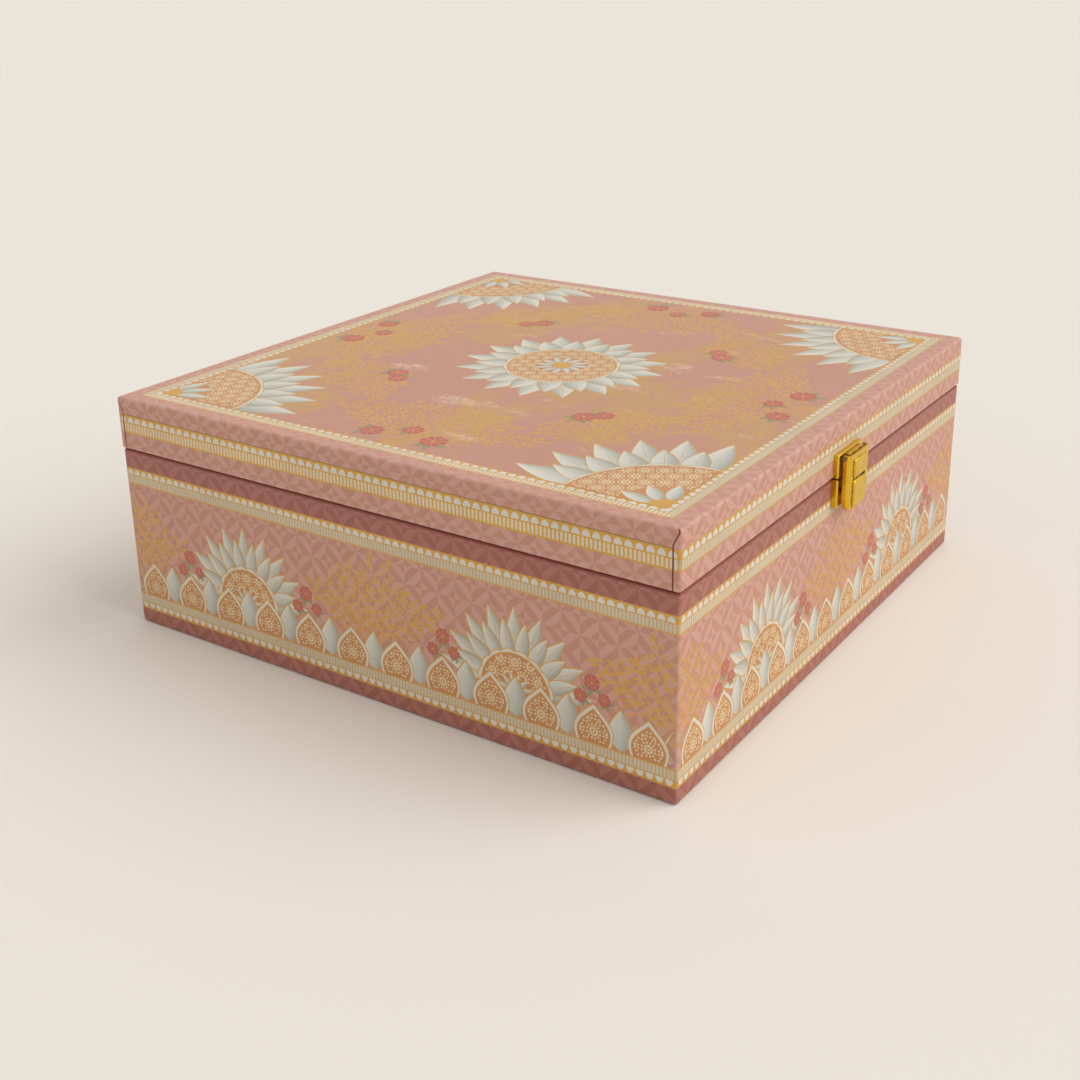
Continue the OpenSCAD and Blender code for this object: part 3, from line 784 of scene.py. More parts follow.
def printed_paper(name, settings, bands, field=0.0):
    """Coated art paper, printed in matt inks: even tone, a faint tooth, folds rubbed pale to the fibres and
    lightened with painted highlight.
    """
    material, tree, shader = new_material(name)
    lattice = bpy.data.node_groups.get("tonal_lattice") or tonal_lattice()
    where = add(tree, "TexCoord").outputs["Object"]
    x, y, z = add(tree, "SeparateXYZ", {0: where}).outputs
    size_x = add(tree, "Math", {0: x}, operation="ABSOLUTE")
    size_y = add(tree, "Math", {0: y}, operation="ABSOLUTE")
    far = add(tree, "Math", {0: size_x, 1: size_y}, operation="MAXIMUM")
    # The box is square, so the larger of |x| and |y| tells which wall a point is on
    on_end = add(tree, "Math", {0: size_x, 1: size_y}, operation="GREATER_THAN")
    across, up = (unfolded_plan if field else upright_plan)(tree, x, y, z, on_end)
    pitch = settings.lattice_pitch
    start = add(tree, "Mix", {0: on_end, 2: bands["across"][0] * MM, 3: bands["across"][1] * MM})
    across = add(tree, "Math", {0: across, 1: start}, operation="SUBTRACT")
    across = add(tree, "Math", {0: across, 1: 1 / pitch, 2: 0.5}, operation="MULTIPLY_ADD")
    up = add(tree, "Math", {0: up, 1: 1 / pitch, 2: -bands["up"] * MM / pitch}, operation="MULTIPLY_ADD")
    tone = add(tree, "Group", node_tree=lattice)
    tree.links.new(across.outputs[0], tone.inputs["Across"])
    tree.links.new(up.outputs[0], tone.inputs["Up"])
    # The bands are stacked on a ramp that ends 100 mm up
    ramp_end = 100.0
    height = add(tree, "Math", {0: z, 1: ramp_end * MM}, operation="DIVIDE")
    tones = []
    for pink, maroon in ((settings.pink_shade, settings.maroon_shade), (settings.pink, settings.maroon)):
        ramp = add(tree, "ValToRGB", {0: height})
        ramp.color_ramp.interpolation = "CONSTANT"
        ramp.color_ramp.elements.remove(ramp.color_ramp.elements[1])
        ramp.color_ramp.elements[0].position = 0.0
        ramp.color_ramp.elements[0].color = maroon if bands["maroon"] else pink
        for i, change in enumerate(bands["maroon"]):
            ramp.color_ramp.elements.new(change / ramp_end).color = maroon if i % 2 else pink
        tones.append(ramp)
    if field:
        # The lattice is printed fainter on the lid's top
        lift = add(tree, "Math", {0: z, 1: far}, operation="SUBTRACT")
        on_top = add(tree, "Math", {0: lift, 1: (LID_TOP - LID_HALF) * MM}, operation="GREATER_THAN")
        fade = add(tree, "Math", {0: on_top, 1: 0.35}, operation="MULTIPLY")
        tone = add(tree, "Mix", {0: fade, 2: tone, 3: 0.5})
    ground = add(tree, "Mix", {0: tone, 6: tones[0], 7: tones[1]}, data_type="RGBA").outputs[2]
    if field:
        # The picture's ground is one even pink, brushed over with patchy gold washes and a few cream strokes
        inside = add(tree, "Math", {0: far, 1: field * MM}, operation="LESS_THAN")
        inside = add(tree, "Math", {0: inside, 1: on_top}, operation="MULTIPLY")
        ground = add(tree, "Mix", {0: inside, 6: ground, 7: settings.pink_shade}, data_type="RGBA").outputs[2]
        # A dry brush leaves the washes stippled at their edges
        speck = add(tree, "TexNoise", {0: where, "Scale": spots(2.38), "Detail": 3.0})
        dry = add(tree, "MapRange", {0: speck, 1: 0.38, 2: 0.48})
        dry = add(tree, "Math", {0: dry, 1: inside}, operation="MULTIPLY")
        # For each wash: its ink, where its pattern starts, how little shows, how thick, and its patches in mm
        for ink, origin, low, strength, sizes in (
                (settings.wash_gold, 10.92, 0.49, 0.85, (85.47, 48.08, 85.47)),
                (settings.wash_cream, 4.03, 0.6, 0.7, (22.62, 64.1, 85.47))):
            stretch = add(tree, "Mapping", {0: where, 1: (origin, origin, 0), 3: [spots(mm) for mm in sizes]})
            cloud = add(tree, "TexNoise", {0: stretch, "Scale": 1.0, "Detail": 6.0, "Roughness": 0.62})
            cover = add(tree, "MapRange", {0: cloud, 1: low, 2: low + 0.06, 4: strength})
            cover = add(tree, "Math", {0: cover, 1: dry}, operation="MULTIPLY")
            ground = add(tree, "Mix", {0: cover, 6: ground, 7: ink}, data_type="RGBA").outputs[2]
    # Ink density drifts by a few per cent over a hand's width, and more finely with the paper's tooth
    drift = add(tree, "TexNoise", {0: where, "Scale": spots(71.43), "Detail": 3.0})
    tooth = add(tree, "TexNoise", {0: where, "Scale": spots(0.3846), "Detail": 2.0})
    value = add(tree, "Math", {0: drift, 1: 0.08, 2: 0.93}, operation="MULTIPLY_ADD")
    value = add(tree, "Math", {0: tooth, 1: 0.06, 2: value}, operation="MULTIPLY_ADD")
    ground = add(tree, "HueSaturation", {"Color": ground, "Value": value})
    # Folds and edges are mixed towards pale paper: partly rubbed fibres, partly a painted highlight along the
    # edges
    fold = add(tree, "Attribute", attribute_name="fold").outputs["Fac"]
    rub = add(tree, "TexNoise", {0: where, "Scale": spots(3.846), "Detail": 4.0})
    worn = add(tree, "MapRange", {0: rub, 1: 0.42, 2: 0.7, 4: 0.22})
    worn = add(tree, "Math", {0: worn, 1: fold}, operation="MULTIPLY")
    ground = add(tree, "Mix", {0: worn, 6: ground, 7: linear("#E9D6CB")}, data_type="RGBA").outputs[2]
    # Slit floors take the slit colour: glue and board edge, and painted shade of the narrow slit
    slit = add(tree, "Attribute", attribute_name="slit").outputs["Fac"]
    if not field:
        # The base's rim is darkened where the lid's edge closes on it: painted shade of the seam
        rim = add(tree, "MapRange", {0: z, 1: (BASE_TOP - 1.15) * MM, 2: (BASE_TOP - 0.55) * MM, 4: 0.9})
        far_out = add(tree, "Math", {0: far, 1: (BASE_HALF - 1.2) * MM}, operation="GREATER_THAN")
        slit = add(tree, "Math", {0: rim, 1: far_out}, operation="MULTIPLY")
    ground = add(tree, "Mix", {0: slit, 6: ground, 7: settings.slit}, data_type="RGBA").outputs[2]
    tree.links.new(ground, shader.inputs["Base Color"])
    rough = add(tree, "Math", {0: tooth, 1: 0.12, 2: 0.42}, operation="MULTIPLY_ADD")
    tree.links.new(rough.outputs[0], shader.inputs["Roughness"])
    # The tooth is about 0.01 mm deep, and the glued sheet hardly waves
    wave = add(tree, "TexNoise", {0: where, "Scale": spots(45.45), "Detail": 1.0})
    relief = add(tree, "Math", {0: wave, 1: 0.06}, operation="MULTIPLY")
    relief = add(tree, "Math", {0: tooth, 1: 0.012, 2: relief}, operation="MULTIPLY_ADD")
    bump = add(tree, "Bump", {"Height": relief, "Strength": 0.5, "Distance": MM})
    tree.links.new(bump.outputs[0], shader.inputs["Normal"])
    return material


def printing_ink(name, light, shade=None, metallic=0.0, roughness=0.5):
    """Screen-printed ink: opaque, slightly uneven in tone and gloss."""
    material, tree, shader = new_material(name)
    where = add(tree, "TexCoord").outputs["Object"]
    tooth = add(tree, "TexNoise", {0: where, "Scale": spots(0.6667), "Detail": 3.0})
    drift = add(tree, "TexNoise", {0: where, "Scale": spots(22.22), "Detail": 2.0})
    amount = add(tree, "Math", {0: tooth, 1: drift}, operation="ADD")
    value = add(tree, "MapRange", {0: amount, 1: 0.6, 2: 1.4, 3: 0.9, 4: 1.08})
    tint = list(light)
    if shade is not None:
        tone = add(tree, "Attribute", attribute_name="shade").outputs["Fac"]
        tint = add(tree, "Mix", {0: tone, 6: list(light), 7: list(shade)}, data_type="RGBA").outputs[2]
    ink = add(tree, "HueSaturation", {"Color": tint, "Value": value})
    tree.links.new(ink.outputs[0], shader.inputs["Base Color"])
    rough = add(tree, "MapRange", {0: tooth, 1: 0.3, 2: 0.7, 3: roughness - 0.07, 4: roughness + 0.08})
    tree.links.new(rough.outputs[0], shader.inputs["Roughness"])
    bump = add(tree, "Bump", {"Height": tooth, "Strength": 0.25, "Distance": 0.01 * MM})
    tree.links.new(bump.outputs[0], shader.inputs["Normal"])
    shader.inputs["Metallic"].default_value = metallic
    return material


def ink_set(settings):
    """The inks of both papers, made once."""
    # Bronze-powder ink is partly metal: it darkens and brightens softly, and never mirrors. Two tones across
    # each petal give the ivory its moulded look.
    special = {"gold": {"metallic": 0.25, "roughness": 0.42}, "ivory": {"shade": settings.ivory_shade}}
    inks = {}
    for ink, name in INK_NAMES.items():
        made = bpy.data.materials.get(name)
        inks[ink] = made or printing_ink(name, getattr(settings, ink), **special.get(ink, {}))
    return inks


def gold_plated_steel(name, gold, film, recess_tarnish_and_shade):
    """Stamped steel, bright gold-plated: a soft mirror with fine drawing lines and a thin amber film."""
    material, tree, shader = new_material(name)
    where = add(tree, "TexCoord").outputs["Object"]
    # Drawing lines run upright, about 0.1 mm apart and 3 mm long
    lines = add(tree, "Mapping", {0: where, 3: (spots(0.1111), spots(0.1111), spots(3.333))})
    grain = add(tree, "TexNoise", {0: lines, "Scale": 1.0, "Detail": 2.0})
    patch = add(tree, "TexNoise", {0: where, "Scale": spots(6.25), "Detail": 3.0})
    cover = add(tree, "MapRange", {0: patch, 1: 0.5, 2: 0.75, 4: 0.35})
    tint = add(tree, "Mix", {0: cover, 6: list(gold), 7: list(film)}, data_type="RGBA").outputs[2]
    # Grooves are darkened, thick in some places and thin in others: partly oil and tarnish, partly painted
    # shade of the recesses and gaps
    groove = add(tree, "Attribute", attribute_name="groove").outputs["Fac"]
    thick = add(tree, "TexNoise", {0: where, "Scale": spots(3.03), "Detail": 2.0})
    thick = add(tree, "MapRange", {0: thick, 1: 0.36, 2: 0.56, 3: 0.5})
    groove = add(tree, "Math", {0: groove, 1: thick}, operation="MULTIPLY")
    tint = add(tree, "Mix", {0: groove, 6: tint, 7: list(recess_tarnish_and_shade)}, data_type="RGBA").outputs[2]
    tree.links.new(tint, shader.inputs["Base Color"])
    rough = add(tree, "MapRange", {0: grain, 1: 0.3, 2: 0.7, 3: 0.2, 4: 0.34})
    rough = add(tree, "Math", {0: groove, 1: 0.4, 2: rough}, operation="MULTIPLY_ADD")
    tree.links.new(rough.outputs[0], shader.inputs["Roughness"])
    bump = add(tree, "Bump", {"Height": grain, "Strength": 0.12, "Distance": 0.01 * MM})
    tree.links.new(bump.outputs[0], shader.inputs["Normal"])
    shader.inputs["Metallic"].default_value = 1.0
    return material


def metal_of(settings):
    """The gold plate of the latch and hinges, made once."""
    return bpy.data.materials.get("gold_plated_stamped_steel") or gold_plated_steel(
        "gold_plated_stamped_steel", settings.gold, settings.tarnish, settings.recess_tarnish_and_shade)


def plain_board(name, base, dark, fibre, rough, grain):
    """Uncoated board or paper: short fibres in two tones, and a dry, matt face. Fibre and grain are in mm."""
    material, tree, shader = new_material(name)
    where = add(tree, "TexCoord").outputs["Object"]
    stretch = add(tree, "Mapping", {0: where, 3: [spots(mm) for mm in fibre]})
    strands = add(tree, "TexNoise", {0: stretch, "Scale": 1.0, "Detail": 4.0, "Roughness": 0.6})
    specks = add(tree, "TexVoronoi", {0: where, "Scale": spots(grain)})
    amount = add(tree, "Math", {0: strands, 1: specks}, operation="MULTIPLY")
    amount = add(tree, "MapRange", {0: amount, 1: 0.05, 2: 0.45})
    tone = add(tree, "Mix", {0: amount, 6: dark, 7: base}, data_type="RGBA")
    tree.links.new(tone.outputs[2], shader.inputs["Base Color"])
    dry = add(tree, "MapRange", {0: strands, 3: rough, 4: rough + 0.15})
    tree.links.new(dry.outputs[0], shader.inputs["Roughness"])
    bump = add(tree, "Bump", {"Height": strands, "Strength": 0.3, "Distance": 0.04 * MM})
    tree.links.new(bump.outputs[0], shader.inputs["Normal"])
    shader.inputs["Specular IOR Level"].default_value = 0.3
    return material


# Operators: one for each piece or group of like pieces

class SWEETBOX_OT_base_paper(bpy.types.Operator):
    """Folds the printed paper round the base, and prints its borders and panel"""
    bl_idname = "sweet_box.base_paper"
    bl_label = "Base paper"

    def execute(self, context):
        settings = context.scene.sweet_box_print
        # Where the lattice starts, on the front and back and on the ends, and where the maroon bands change
        bands = {"across": (5.7, 1.6), "up": 44.8, "maroon": (10.0, 65.0)}
        paper = printed_paper("printed_art_paper_base", settings, bands)
        half, back, inner = BASE_HALF, BASE_HALF - PAPER, BASE_HALF - PAPER - BOARD
        # The paper is glued under the floor for this far in from the walls
        under = half - 15
        foot, rim = PAPER + RIM_FOLD, BASE_TOP - RIM_FOLD
        rows = [(under, 0.5, 2 * PAPER, 0), (under, 0.5, PAPER, 0), (half - RIM_FOLD - 0.4, CORNER, PAPER, 0)]
        rows += fold_rows(half - RIM_FOLD, foot, RIM_FOLD, -90, 0, CORNER)
        rows += [(half, CORNER, foot + 0.4, 0), (half, CORNER, rim - 0.4, 0)]
        rows += rim_rows(half, inner - PAPER, BASE_TOP, 1)
        rows += [(inner, 0.4, rim - 0.1, 0), (back - RIM_FOLD, CORNER - PAPER, rim, 0),
                 (back, CORNER - PAPER, rim - 0.3, 0), (back, CORNER - PAPER, 3 * PAPER, 0),
                 (back - 0.3, CORNER - PAPER, 2 * PAPER, 0)]
        piece = folded_sheet("base_paper", "base", rows, paper, True)
        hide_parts("base_wrap")
        sheet = Print(wall_place(BASE_HALF))
        wall_border(sheet, 61.6, 1, 6.9, BASE_HALF, 3.67, 1.42)
        wall_border(sheet, 13.5, -1, 7.1, BASE_HALF, 3.67, 1.42)
        wall_motifs(sheet, BASE_HALF, 13.5, settings)
        sheet.pieces("base_print", "base", ink_set(settings))
        return {"FINISHED"}


class SWEETBOX_OT_lid_paper(bpy.types.Operator):
    """Folds the printed paper over the lid, and prints its borders and picture"""
    bl_idname = "sweet_box.lid_paper"
    bl_label = "Lid paper"

    def execute(self, context):
        settings = context.scene.sweet_box_print
        field = LID_HALF - 12.9
        bands = {"across": (5.7, 1.5), "up": -14.6, "maroon": ()}
        paper = printed_paper("printed_art_paper_lid", settings, bands, field)
        half, top, rim = LID_HALF - INK_ROOM, LID_TOP - INK_ROOM, LID_RIM + RIM_FOLD
        back, inner = LID_HALF - PAPER, LID_HALF - 2 * PAPER - BOARD
        top_r, depth = 1.1, 0.13
        rows = [(half - top_r - 0.4, CORNER, top, 0, 0, 0.1)]
        # The slit starts in the folded top edge and slants to its place on the wall
        rows += [(*row[:4], depth * share, 0.1) for row, share in
                 zip(fold_rows(half - top_r, top - top_r, top_r, 90, 0, CORNER), (0, 0, 0.1, 0.4, 0.8, 1))]
        rows += [(half, CORNER, top - top_r - 0.4, 0, depth, 0.25)]
        # A pale line is painted a little way up the wall, just above the rim's fold: a painted highlight
        # along the lid's lower edge
        rows += [(half, CORNER, z, fold, depth) for z, fold in (
            (92.4, 0), (84.0, 0), (rim + 0.6, 0), (rim + 0.2, 1.8))]
        rows += rim_rows(half, inner, LID_RIM, -1, depth)
        rows += [(inner + PAPER, 0.4, rim, 0), (back - RIM_FOLD, CORNER - PAPER, rim, 0),
                 (back, CORNER - PAPER, rim + 0.3, 0), (back, CORNER - PAPER, LID_TOP - top_r, 0),
                 (back - 0.5, CORNER - PAPER, LID_TOP - PAPER - 0.5, 0),
                 (back - top_r, CORNER - PAPER, LID_TOP - PAPER, 0)]
        piece = folded_sheet("lid_paper", "lid", rows, paper, False)
        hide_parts("lid_wrap")
        inks = ink_set(settings)
        walls = Print(wall_place(half))
        # The walls are counted from the front by twos of half a side: 2 is the right wall, 6 the left
        start = SLIT_IN + CORNER * (1 - math.pi / 4)
        slits = []
        for wall in (2, 6):
            slits.append(((wall - 1) * half + start, (wall - 1) * half + start + SLIT_WIDE))
            slits.append(((wall + 1) * half - start - SLIT_WIDE, (wall + 1) * half - start))
        wall_border(walls, 83.5, 1, 7.45, half, 3.98, 1.62, slits)
        walls.pieces("lid_print_wall", "lid", inks)
        top_sheet = Print(top_place)
        top_motifs(top_sheet, field)
        for side in range(4):
            top_sheet.place = rim_place(side)
            frame_border(top_sheet, 6.5, 6.4, 3.9, 1.62, *BAR_INKS[side % 2])
        top_sheet.pieces("lid_print_top", "lid", inks)
        return {"FINISHED"}


def face_ring(outline, out):
    """A ring of the latch: its outline in X and Z, at a distance in front of the lid's front face."""
    return [(x * MM, -(LID_HALF + out) * MM, z * MM) for x, z in outline]


def tablet(half, low, high, top_r, low_r, steps=6):
    """Outline of an upright plate with its own radius at the upper and the lower corners."""
    points = []
    upper, lower = half - top_r, half - low_r
    for cx, cz, r, start in ((upper, high - top_r, top_r, 0), (-upper, high - top_r, top_r, 90),
                             (-lower, low + low_r, low_r, 180), (lower, low + low_r, low_r, 270)):
        for i in range(steps + 1):
            a = math.radians(start + 90 * i / steps)
            points.append((cx + r * math.cos(a), cz + r * math.sin(a)))
    return points


def pressed_rings(half, low, high, start, face, edge):
    """Rings of a plate pressed over a rounded edge, from its back at start to its face."""
    corner, least = 0.5, 0.15
    inset = [(0.0, start), (0.0, face - edge - 0.1)]
    for i in range(FOLD_STEPS + 1):
        a = math.pi / 2 * i / FOLD_STEPS
        inset.append((edge * (1 - math.cos(a)), face - edge + edge * math.sin(a)))
    inset.append((edge + 0.25, face))
    rings = []
    for m, out in inset:
        r = max(corner - m, least)
        rings.append(face_ring(tablet(half - m, low + m, high - m, r, r), out))
    return rings


def bar_rings(outline, half, bevel, shrink):
    """A bar along X with a given section in depth and height, its ends bevelled."""
    middle = [sum(p[i] for p in outline) / len(outline) for i in (0, 1)]
    rings = []
    for x, k in ((-half, shrink), (-half + bevel, 1), (half - bevel, 1), (half, shrink)):
        section = [(middle[0] + (out - middle[0]) * k, middle[1] + (z - middle[1]) * k) for out, z in outline]
        rings.append([(x * MM, -(LID_HALF + out) * MM, z * MM) for out, z in section])
    return rings


def round_nose(root, nose, z, radius):
    """Section of a strip that ends in a round nose, in depth and height."""
    arc = [math.radians(-90 + 18 * i) for i in range(11)]
    points = [(nose + radius * math.cos(a), z + radius * math.sin(a)) for a in arc]
    return [(root, z - radius)] + points + [(root, z + radius)]


def tray_outline(half, low, high, low_r):
    """The flap's three walled sides, from the upper right end round the foot to the upper left one."""
    points = [(half, high)]
    for cx, start in ((half - low_r, 0), (low_r - half, -90)):
        for i in range(7):
            a = math.radians(start - 15 * i)
            points.append((cx + low_r * math.cos(a), low + low_r + low_r * math.sin(a)))
    return points + [(-half, high)]


def latch_piece(node, body, parts, metal, smooth, attributes=None):
    """A pressed piece of the latch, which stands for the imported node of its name."""
    verts, faces = joined(*parts)
    piece = new_piece(node + "_pressed", body, verts, faces, metal, smooth, attributes)
    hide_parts(node)


class SWEETBOX_OT_latch(bpy.types.Operator):
    """Presses the latch's two plates and its flap, with their rounded edges"""
    bl_idname = "sweet_box.latch"
    bl_label = "Latch"

    def execute(self, context):
        settings = context.scene.sweet_box_metal
        metal = metal_of(settings)
        edge, plate_edge = settings.edge / MM, settings.plate_edge / MM
        plate_half, plate_face = 11.0, 2.0
        pin_z, pin_out, knuckle_r, knuckle_half = 84.6, 3.6, 1.1, 6.25
        lid_plate = loft(pressed_rings(plate_half, 76.6, 86.0, 0.0, plate_face, plate_edge))
        turns = [math.pi * i / 10 for i in range(20)]
        roll = [(pin_out + knuckle_r * math.cos(a), pin_z + knuckle_r * math.sin(a)) for a in turns]
        knuckle = loft(bar_rings(roll, knuckle_half, 0.12, 0.9))
        strap = [(1.4, 85.0), (pin_out, 85.0), (pin_out, 85.68), (2.1, 85.7), (1.4, 85.7)]
        parts = [lid_plate, knuckle, loft(bar_rings(strap, knuckle_half, 0.1, 0.95))]
        # The strap is darkened where it leaves the plate, and the knuckle along its front: partly tarnish,
        # partly painted shade under the flap that closes over them
        grooves_tarnish_and_shade = [0.0] * len(lid_plate[0])
        for verts, _ in parts[1:]:
            outs = [-y / MM - LID_HALF for _, y, _ in verts]
            grooves_tarnish_and_shade += [1.0 if out > pin_out + 0.6 else 0.7 if out < 2.2 else 0.0 for out in outs]
        latch_piece("latch_lid_plate", "lid", parts, metal, 40, {"groove": grooves_tarnish_and_shade})
        base_plate = loft(pressed_rings(plate_half, 65.0, 76.1, -0.4, plate_face, plate_edge))
        catch = loft(bar_rings(round_nose(1.3, 3.5, 68.2, 1.2), 2.4, 0.3, 0.8))
        latch_piece("latch_base_plate", "base", [base_plate, catch], metal, 40)
        # The flap's wall is swept round its foot with the section of bent sheet, and is open at the pin
        low, high, half, low_r = 62.5, 85.5, 9.2, 6.0
        back, face, sheet = 3.0, 5.7, 0.7
        bend = [math.pi / 2 * i / 5 for i in range(6)]
        inside = edge - sheet
        section = [(0.0, back)]
        for radius, arc in ((edge, bend), (inside, bend[::-1])):
            section += [(edge - radius * math.cos(a), face - edge + radius * math.sin(a)) for a in arc]
        section.append((sheet, back))
        walks = [(tray_outline(half - m, low + m, high, low_r - m), out) for m, out in section]
        wall = loft([[(walk[i][0] * MM, -(LID_HALF + out) * MM, walk[i][1] * MM) for walk, out in walks]
                     for i in range(len(walks[0][0]))])
        plate = tray_outline(half - edge, low + edge, high, low_r - edge)
        parts = [wall, loft([face_ring(plate, face - sheet), face_ring(plate, face)])]
        grooves_tarnish_and_shade = [0.0] * sum(len(part[0]) for part in parts)
        # The raised pad's two halves rise in steps of an inset, a depth and a share of darkening at the pad's
        # foot, partly tarnish and partly painted shade
        pad_half = 5.75
        pad_steps = ((0.0, 5.4, 1), (0.0, 5.76, 1), (0.1, 5.86, 0.35), (0.5, 6.33, 0), (0.62, 6.4, 0),
                     (0.85, 6.4, 0))
        for z0, z1 in ((64.5, 75.0), (76.0, 83.5)):
            rings = []
            for m, out, dark in pad_steps:
                ring = face_ring(tablet(pad_half - m, z0 + m, z1 - m, 0.3, 0.3, 2), out)
                rings.append(ring)
                grooves_tarnish_and_shade += [dark] * len(ring)
            parts.append(loft(rings))
        # Dark strips lie in the slot between the pad's halves and under its foot: painted shade where the
        # slot opens into the flap, with some tarnish
        for z0, z1 in ((75.0, 76.0), (64.2, 64.5)):
            groove = tablet(pad_half, z0, z1, 0.1, 0.1, 1)
            parts.append(loft([face_ring(groove, 5.5), face_ring(groove, 5.72)]))
            grooves_tarnish_and_shade += [1.0] * len(parts[-1][0])
        latch_piece("latch_flap", "flap", parts, metal, 35, {"groove": grooves_tarnish_and_shade})
        return {"FINISHED"}


class SWEETBOX_OT_metal_parts(bpy.types.Operator):
    """Gives the hinges, pins and nails their gold plate"""
    bl_idname = "sweet_box.metal_parts"
    bl_label = "Hinges, pins and nails"

    def execute(self, context):
        settings = context.scene.sweet_box_metal
        # The pin's ends are rubbed down to the steel
        pin = gold_plated_steel("worn_plated_steel_wire", settings.worn, settings.tarnish, settings.recess_tarnish_and_shade)
        for node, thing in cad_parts.items():
            if node.startswith(("hinge_", "latch_")):
                finish_node(thing, pin if node == "latch_pin" else metal_of(settings))
        return {"FINISHED"}


def finish_node(thing, material):
    """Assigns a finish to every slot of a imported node, and leaves its mesh alone."""
    for i in range(len(thing.material_slots)):
        thing.material_slots[i].material = material


class SWEETBOX_OT_boards(bpy.types.Operator):
    """Gives the fibreboards, linings, divider and bottom sheet their finishes"""
    bl_idname = "sweet_box.boards"
    bl_label = "Boards and linings"

    def execute(self, context):
        settings = context.scene.sweet_box_inside
        # Fibreboard shows short brown fibres, a few millimetres long
        fibreboard = plain_board("medium_density_fibreboard", list(settings.board), linear("#7E6443"),
                                 (1.111, 3.333, 1.111), 0.75, 1.429)
        # Uncoated lining paper is matt, with pale specks where the pulp is thick
        lining = plain_board("uncoated_lining_paper", list(settings.lining), linear("#DFCEB6"),
                             (3.846, 3.846, 11.11), 0.68, 2.0)
        divider = plain_board("paper_faced_greyboard", list(settings.divider), linear("#D8C5AB"),
                              (2.5, 2.5, 8.333), 0.66, 2.381)
        sheet = plain_board("dyed_kraft_sheet", list(settings.sheet), linear("#744438"),
                            (5.0, 2.0, 5.0), 0.7, 1.667)
        for node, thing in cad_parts.items():
            if node.endswith("_board"):
                finish_node(thing, fibreboard)
            elif node.endswith("_lining"):
                finish_node(thing, lining)
            elif node.startswith("divider_"):
                finish_node(thing, divider)
            elif node == "base_bottom_sheet":
                finish_node(thing, sheet)
        return {"FINISHED"}


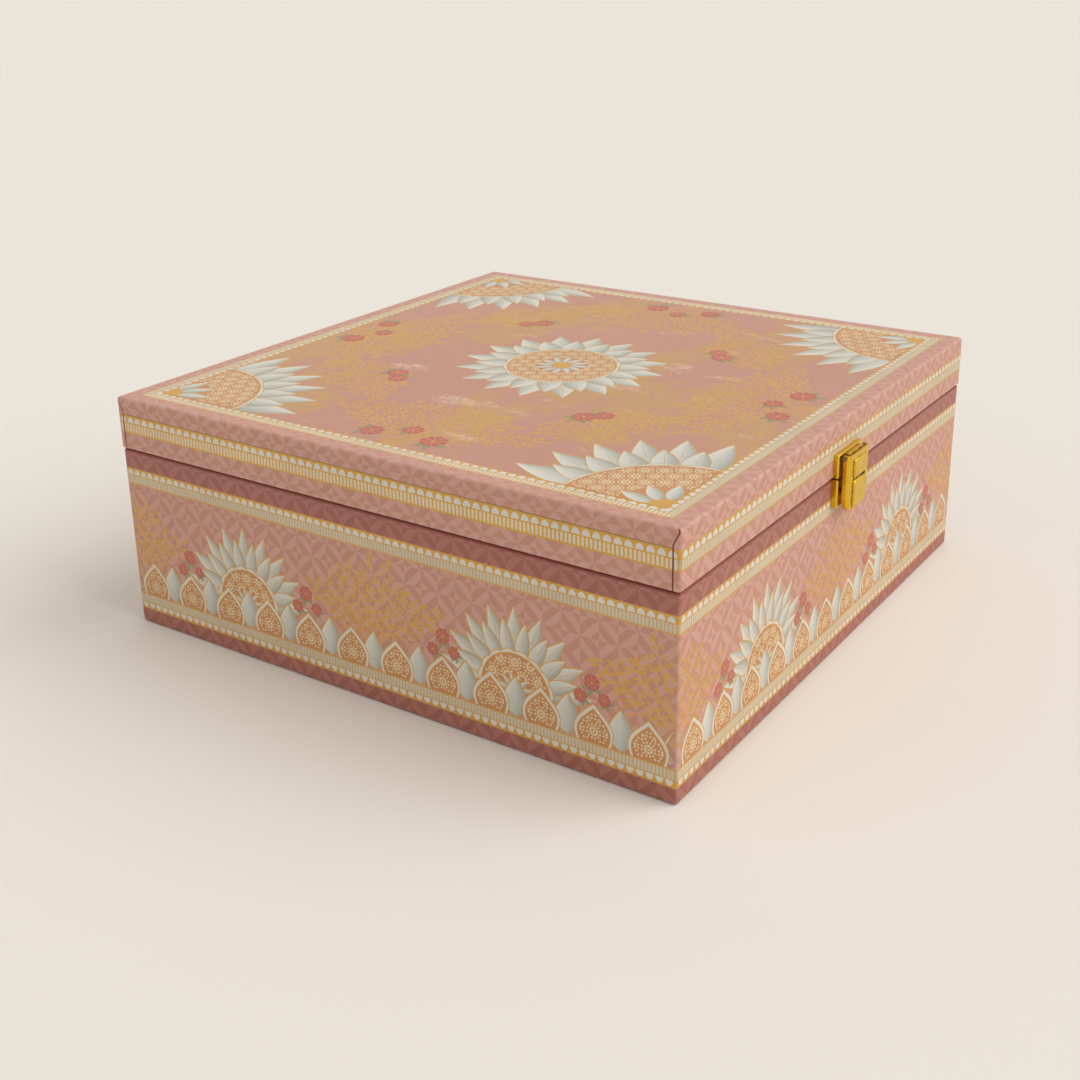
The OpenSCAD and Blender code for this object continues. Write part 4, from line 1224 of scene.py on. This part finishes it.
class SWEETBOX_OT_stage(bpy.types.Operator):
    """Sets the pale floor, the wide soft sun, the sky and the camera"""
    bl_idname = "sweet_box.stage"
    bl_label = "Stage"

    def execute(self, context):
        settings = context.scene.sweet_box_stage
        scene = context.scene
        scene.view_settings.view_transform = "Standard"
        material, tree, shader = new_material("matt_studio_floor")
        where = add(tree, "TexCoord").outputs["Object"]
        haze = add(tree, "TexNoise", {0: where, "Scale": spots(333.3), "Detail": 2.0})
        value = add(tree, "MapRange", {0: haze, 3: 0.985, 4: 1.015})
        tint = add(tree, "HueSaturation", {"Color": list(settings.floor), "Value": value})
        tree.links.new(tint.outputs[0], shader.inputs["Base Color"])
        shader.inputs["Roughness"].default_value = 0.9
        shader.inputs["Specular IOR Level"].default_value = 0.1
        reach = 12.0
        mesh = bpy.data.meshes.new("studio_floor")
        corners = [(-reach, -reach, 0), (reach, -reach, 0), (reach, reach, 0), (-reach, reach, 0)]
        mesh.from_pydata(corners, [], [(0, 1, 2, 3)])
        mesh.materials.append(material)
        floor = bpy.data.objects.new("studio_floor", mesh)
        scene.collection.objects.link(floor)
        world = bpy.data.worlds.new("soft_studio")
        world.use_nodes = True
        scene.world = world
        sky = world.node_tree
        sky.nodes.clear()
        path = add(sky, "LightPath")
        seen = add(sky, "Math", {0: path.outputs["Is Camera Ray"], 1: path.outputs["Is Glossy Ray"]},
                   operation="MAXIMUM")
        seen = add(sky, "Math", {0: seen, 1: path.outputs["Is Transmission Ray"]}, operation="MAXIMUM")
        light = add(sky, "Background", {"Color": (1, 1, 1, 1), "Strength": settings.sky})
        shown = add(sky, "Background", {"Color": list(settings.floor), "Strength": 1.0})
        add(sky, "OutputWorld", {0: add(sky, "MixShader", {0: seen, 1: light, 2: shown})})
        # A very wide sun lights the whole floor alike, with soft shadows
        lamp = bpy.data.lights.new("key_softbox", "SUN")
        lamp.energy = settings.key
        lamp.angle = math.radians(55)
        key = bpy.data.objects.new("key_softbox", lamp)
        scene.collection.objects.link(key)
        key.rotation_euler = Vector((-0.3, 0.66, -0.69)).to_track_quat("-Z", "Y").to_euler()
        camera = bpy.data.objects.new("photo_camera", bpy.data.cameras.new("photo_camera"))
        scene.collection.objects.link(camera)
        scene.camera = camera
        # The view, worked out from the box's straight edges: right, up and back, then the place
        right = (0.555597, -0.831343, -0.013441)
        up = (0.284557, 0.174934, 0.942563)
        back = (-0.781242, -0.527510, 0.333758)
        place = (-0.48699, -0.32285, 0.27226)
        camera.matrix_world = Matrix([*zip(right, up, back, place), (0, 0, 0, 1)])
        camera.data.sensor_width = 36
        camera.data.lens = 48.72
        camera.data.shift_x = -0.0102
        camera.data.shift_y = -0.0935
        camera.data.clip_start = 0.02
        camera.data.clip_end = 50
        return {"FINISHED"}


class SWEETBOX_PT_panel(bpy.types.Panel):
    """Lists the box's operators"""
    bl_label = "Sweet Box"
    bl_idname = "SWEETBOX_PT_panel"
    bl_space_type = "VIEW_3D"
    bl_region_type = "UI"
    bl_category = "Sweet Box"

    def draw(self, context):
        for operator in OPERATORS:
            self.layout.operator(operator.bl_idname)


GROUPS = (SweetBoxPrint, SweetBoxMetal, SweetBoxInside, SweetBoxStage)
OPERATORS = (SWEETBOX_OT_base_paper, SWEETBOX_OT_lid_paper, SWEETBOX_OT_latch, SWEETBOX_OT_metal_parts,
             SWEETBOX_OT_boards, SWEETBOX_OT_stage)
POINTERS = {"sweet_box_print": SweetBoxPrint, "sweet_box_metal": SweetBoxMetal,
            "sweet_box_inside": SweetBoxInside, "sweet_box_stage": SweetBoxStage}


def register():
    for cls in GROUPS + OPERATORS + (SWEETBOX_PT_panel,):
        bpy.utils.register_class(cls)
    for name, group in POINTERS.items():
        setattr(bpy.types.Scene, name, bpy.props.PointerProperty(type=group))


def unregister():
    for name in POINTERS:
        delattr(bpy.types.Scene, name)
    for cls in reversed(GROUPS + OPERATORS + (SWEETBOX_PT_panel,)):
        bpy.utils.unregister_class(cls)


def main():
    register()
    for operator in (bpy.ops.sweet_box.base_paper, bpy.ops.sweet_box.lid_paper, bpy.ops.sweet_box.latch,
                     bpy.ops.sweet_box.metal_parts, bpy.ops.sweet_box.boards, bpy.ops.sweet_box.stage):
        operator()


if __name__ == "__main__":
    main()
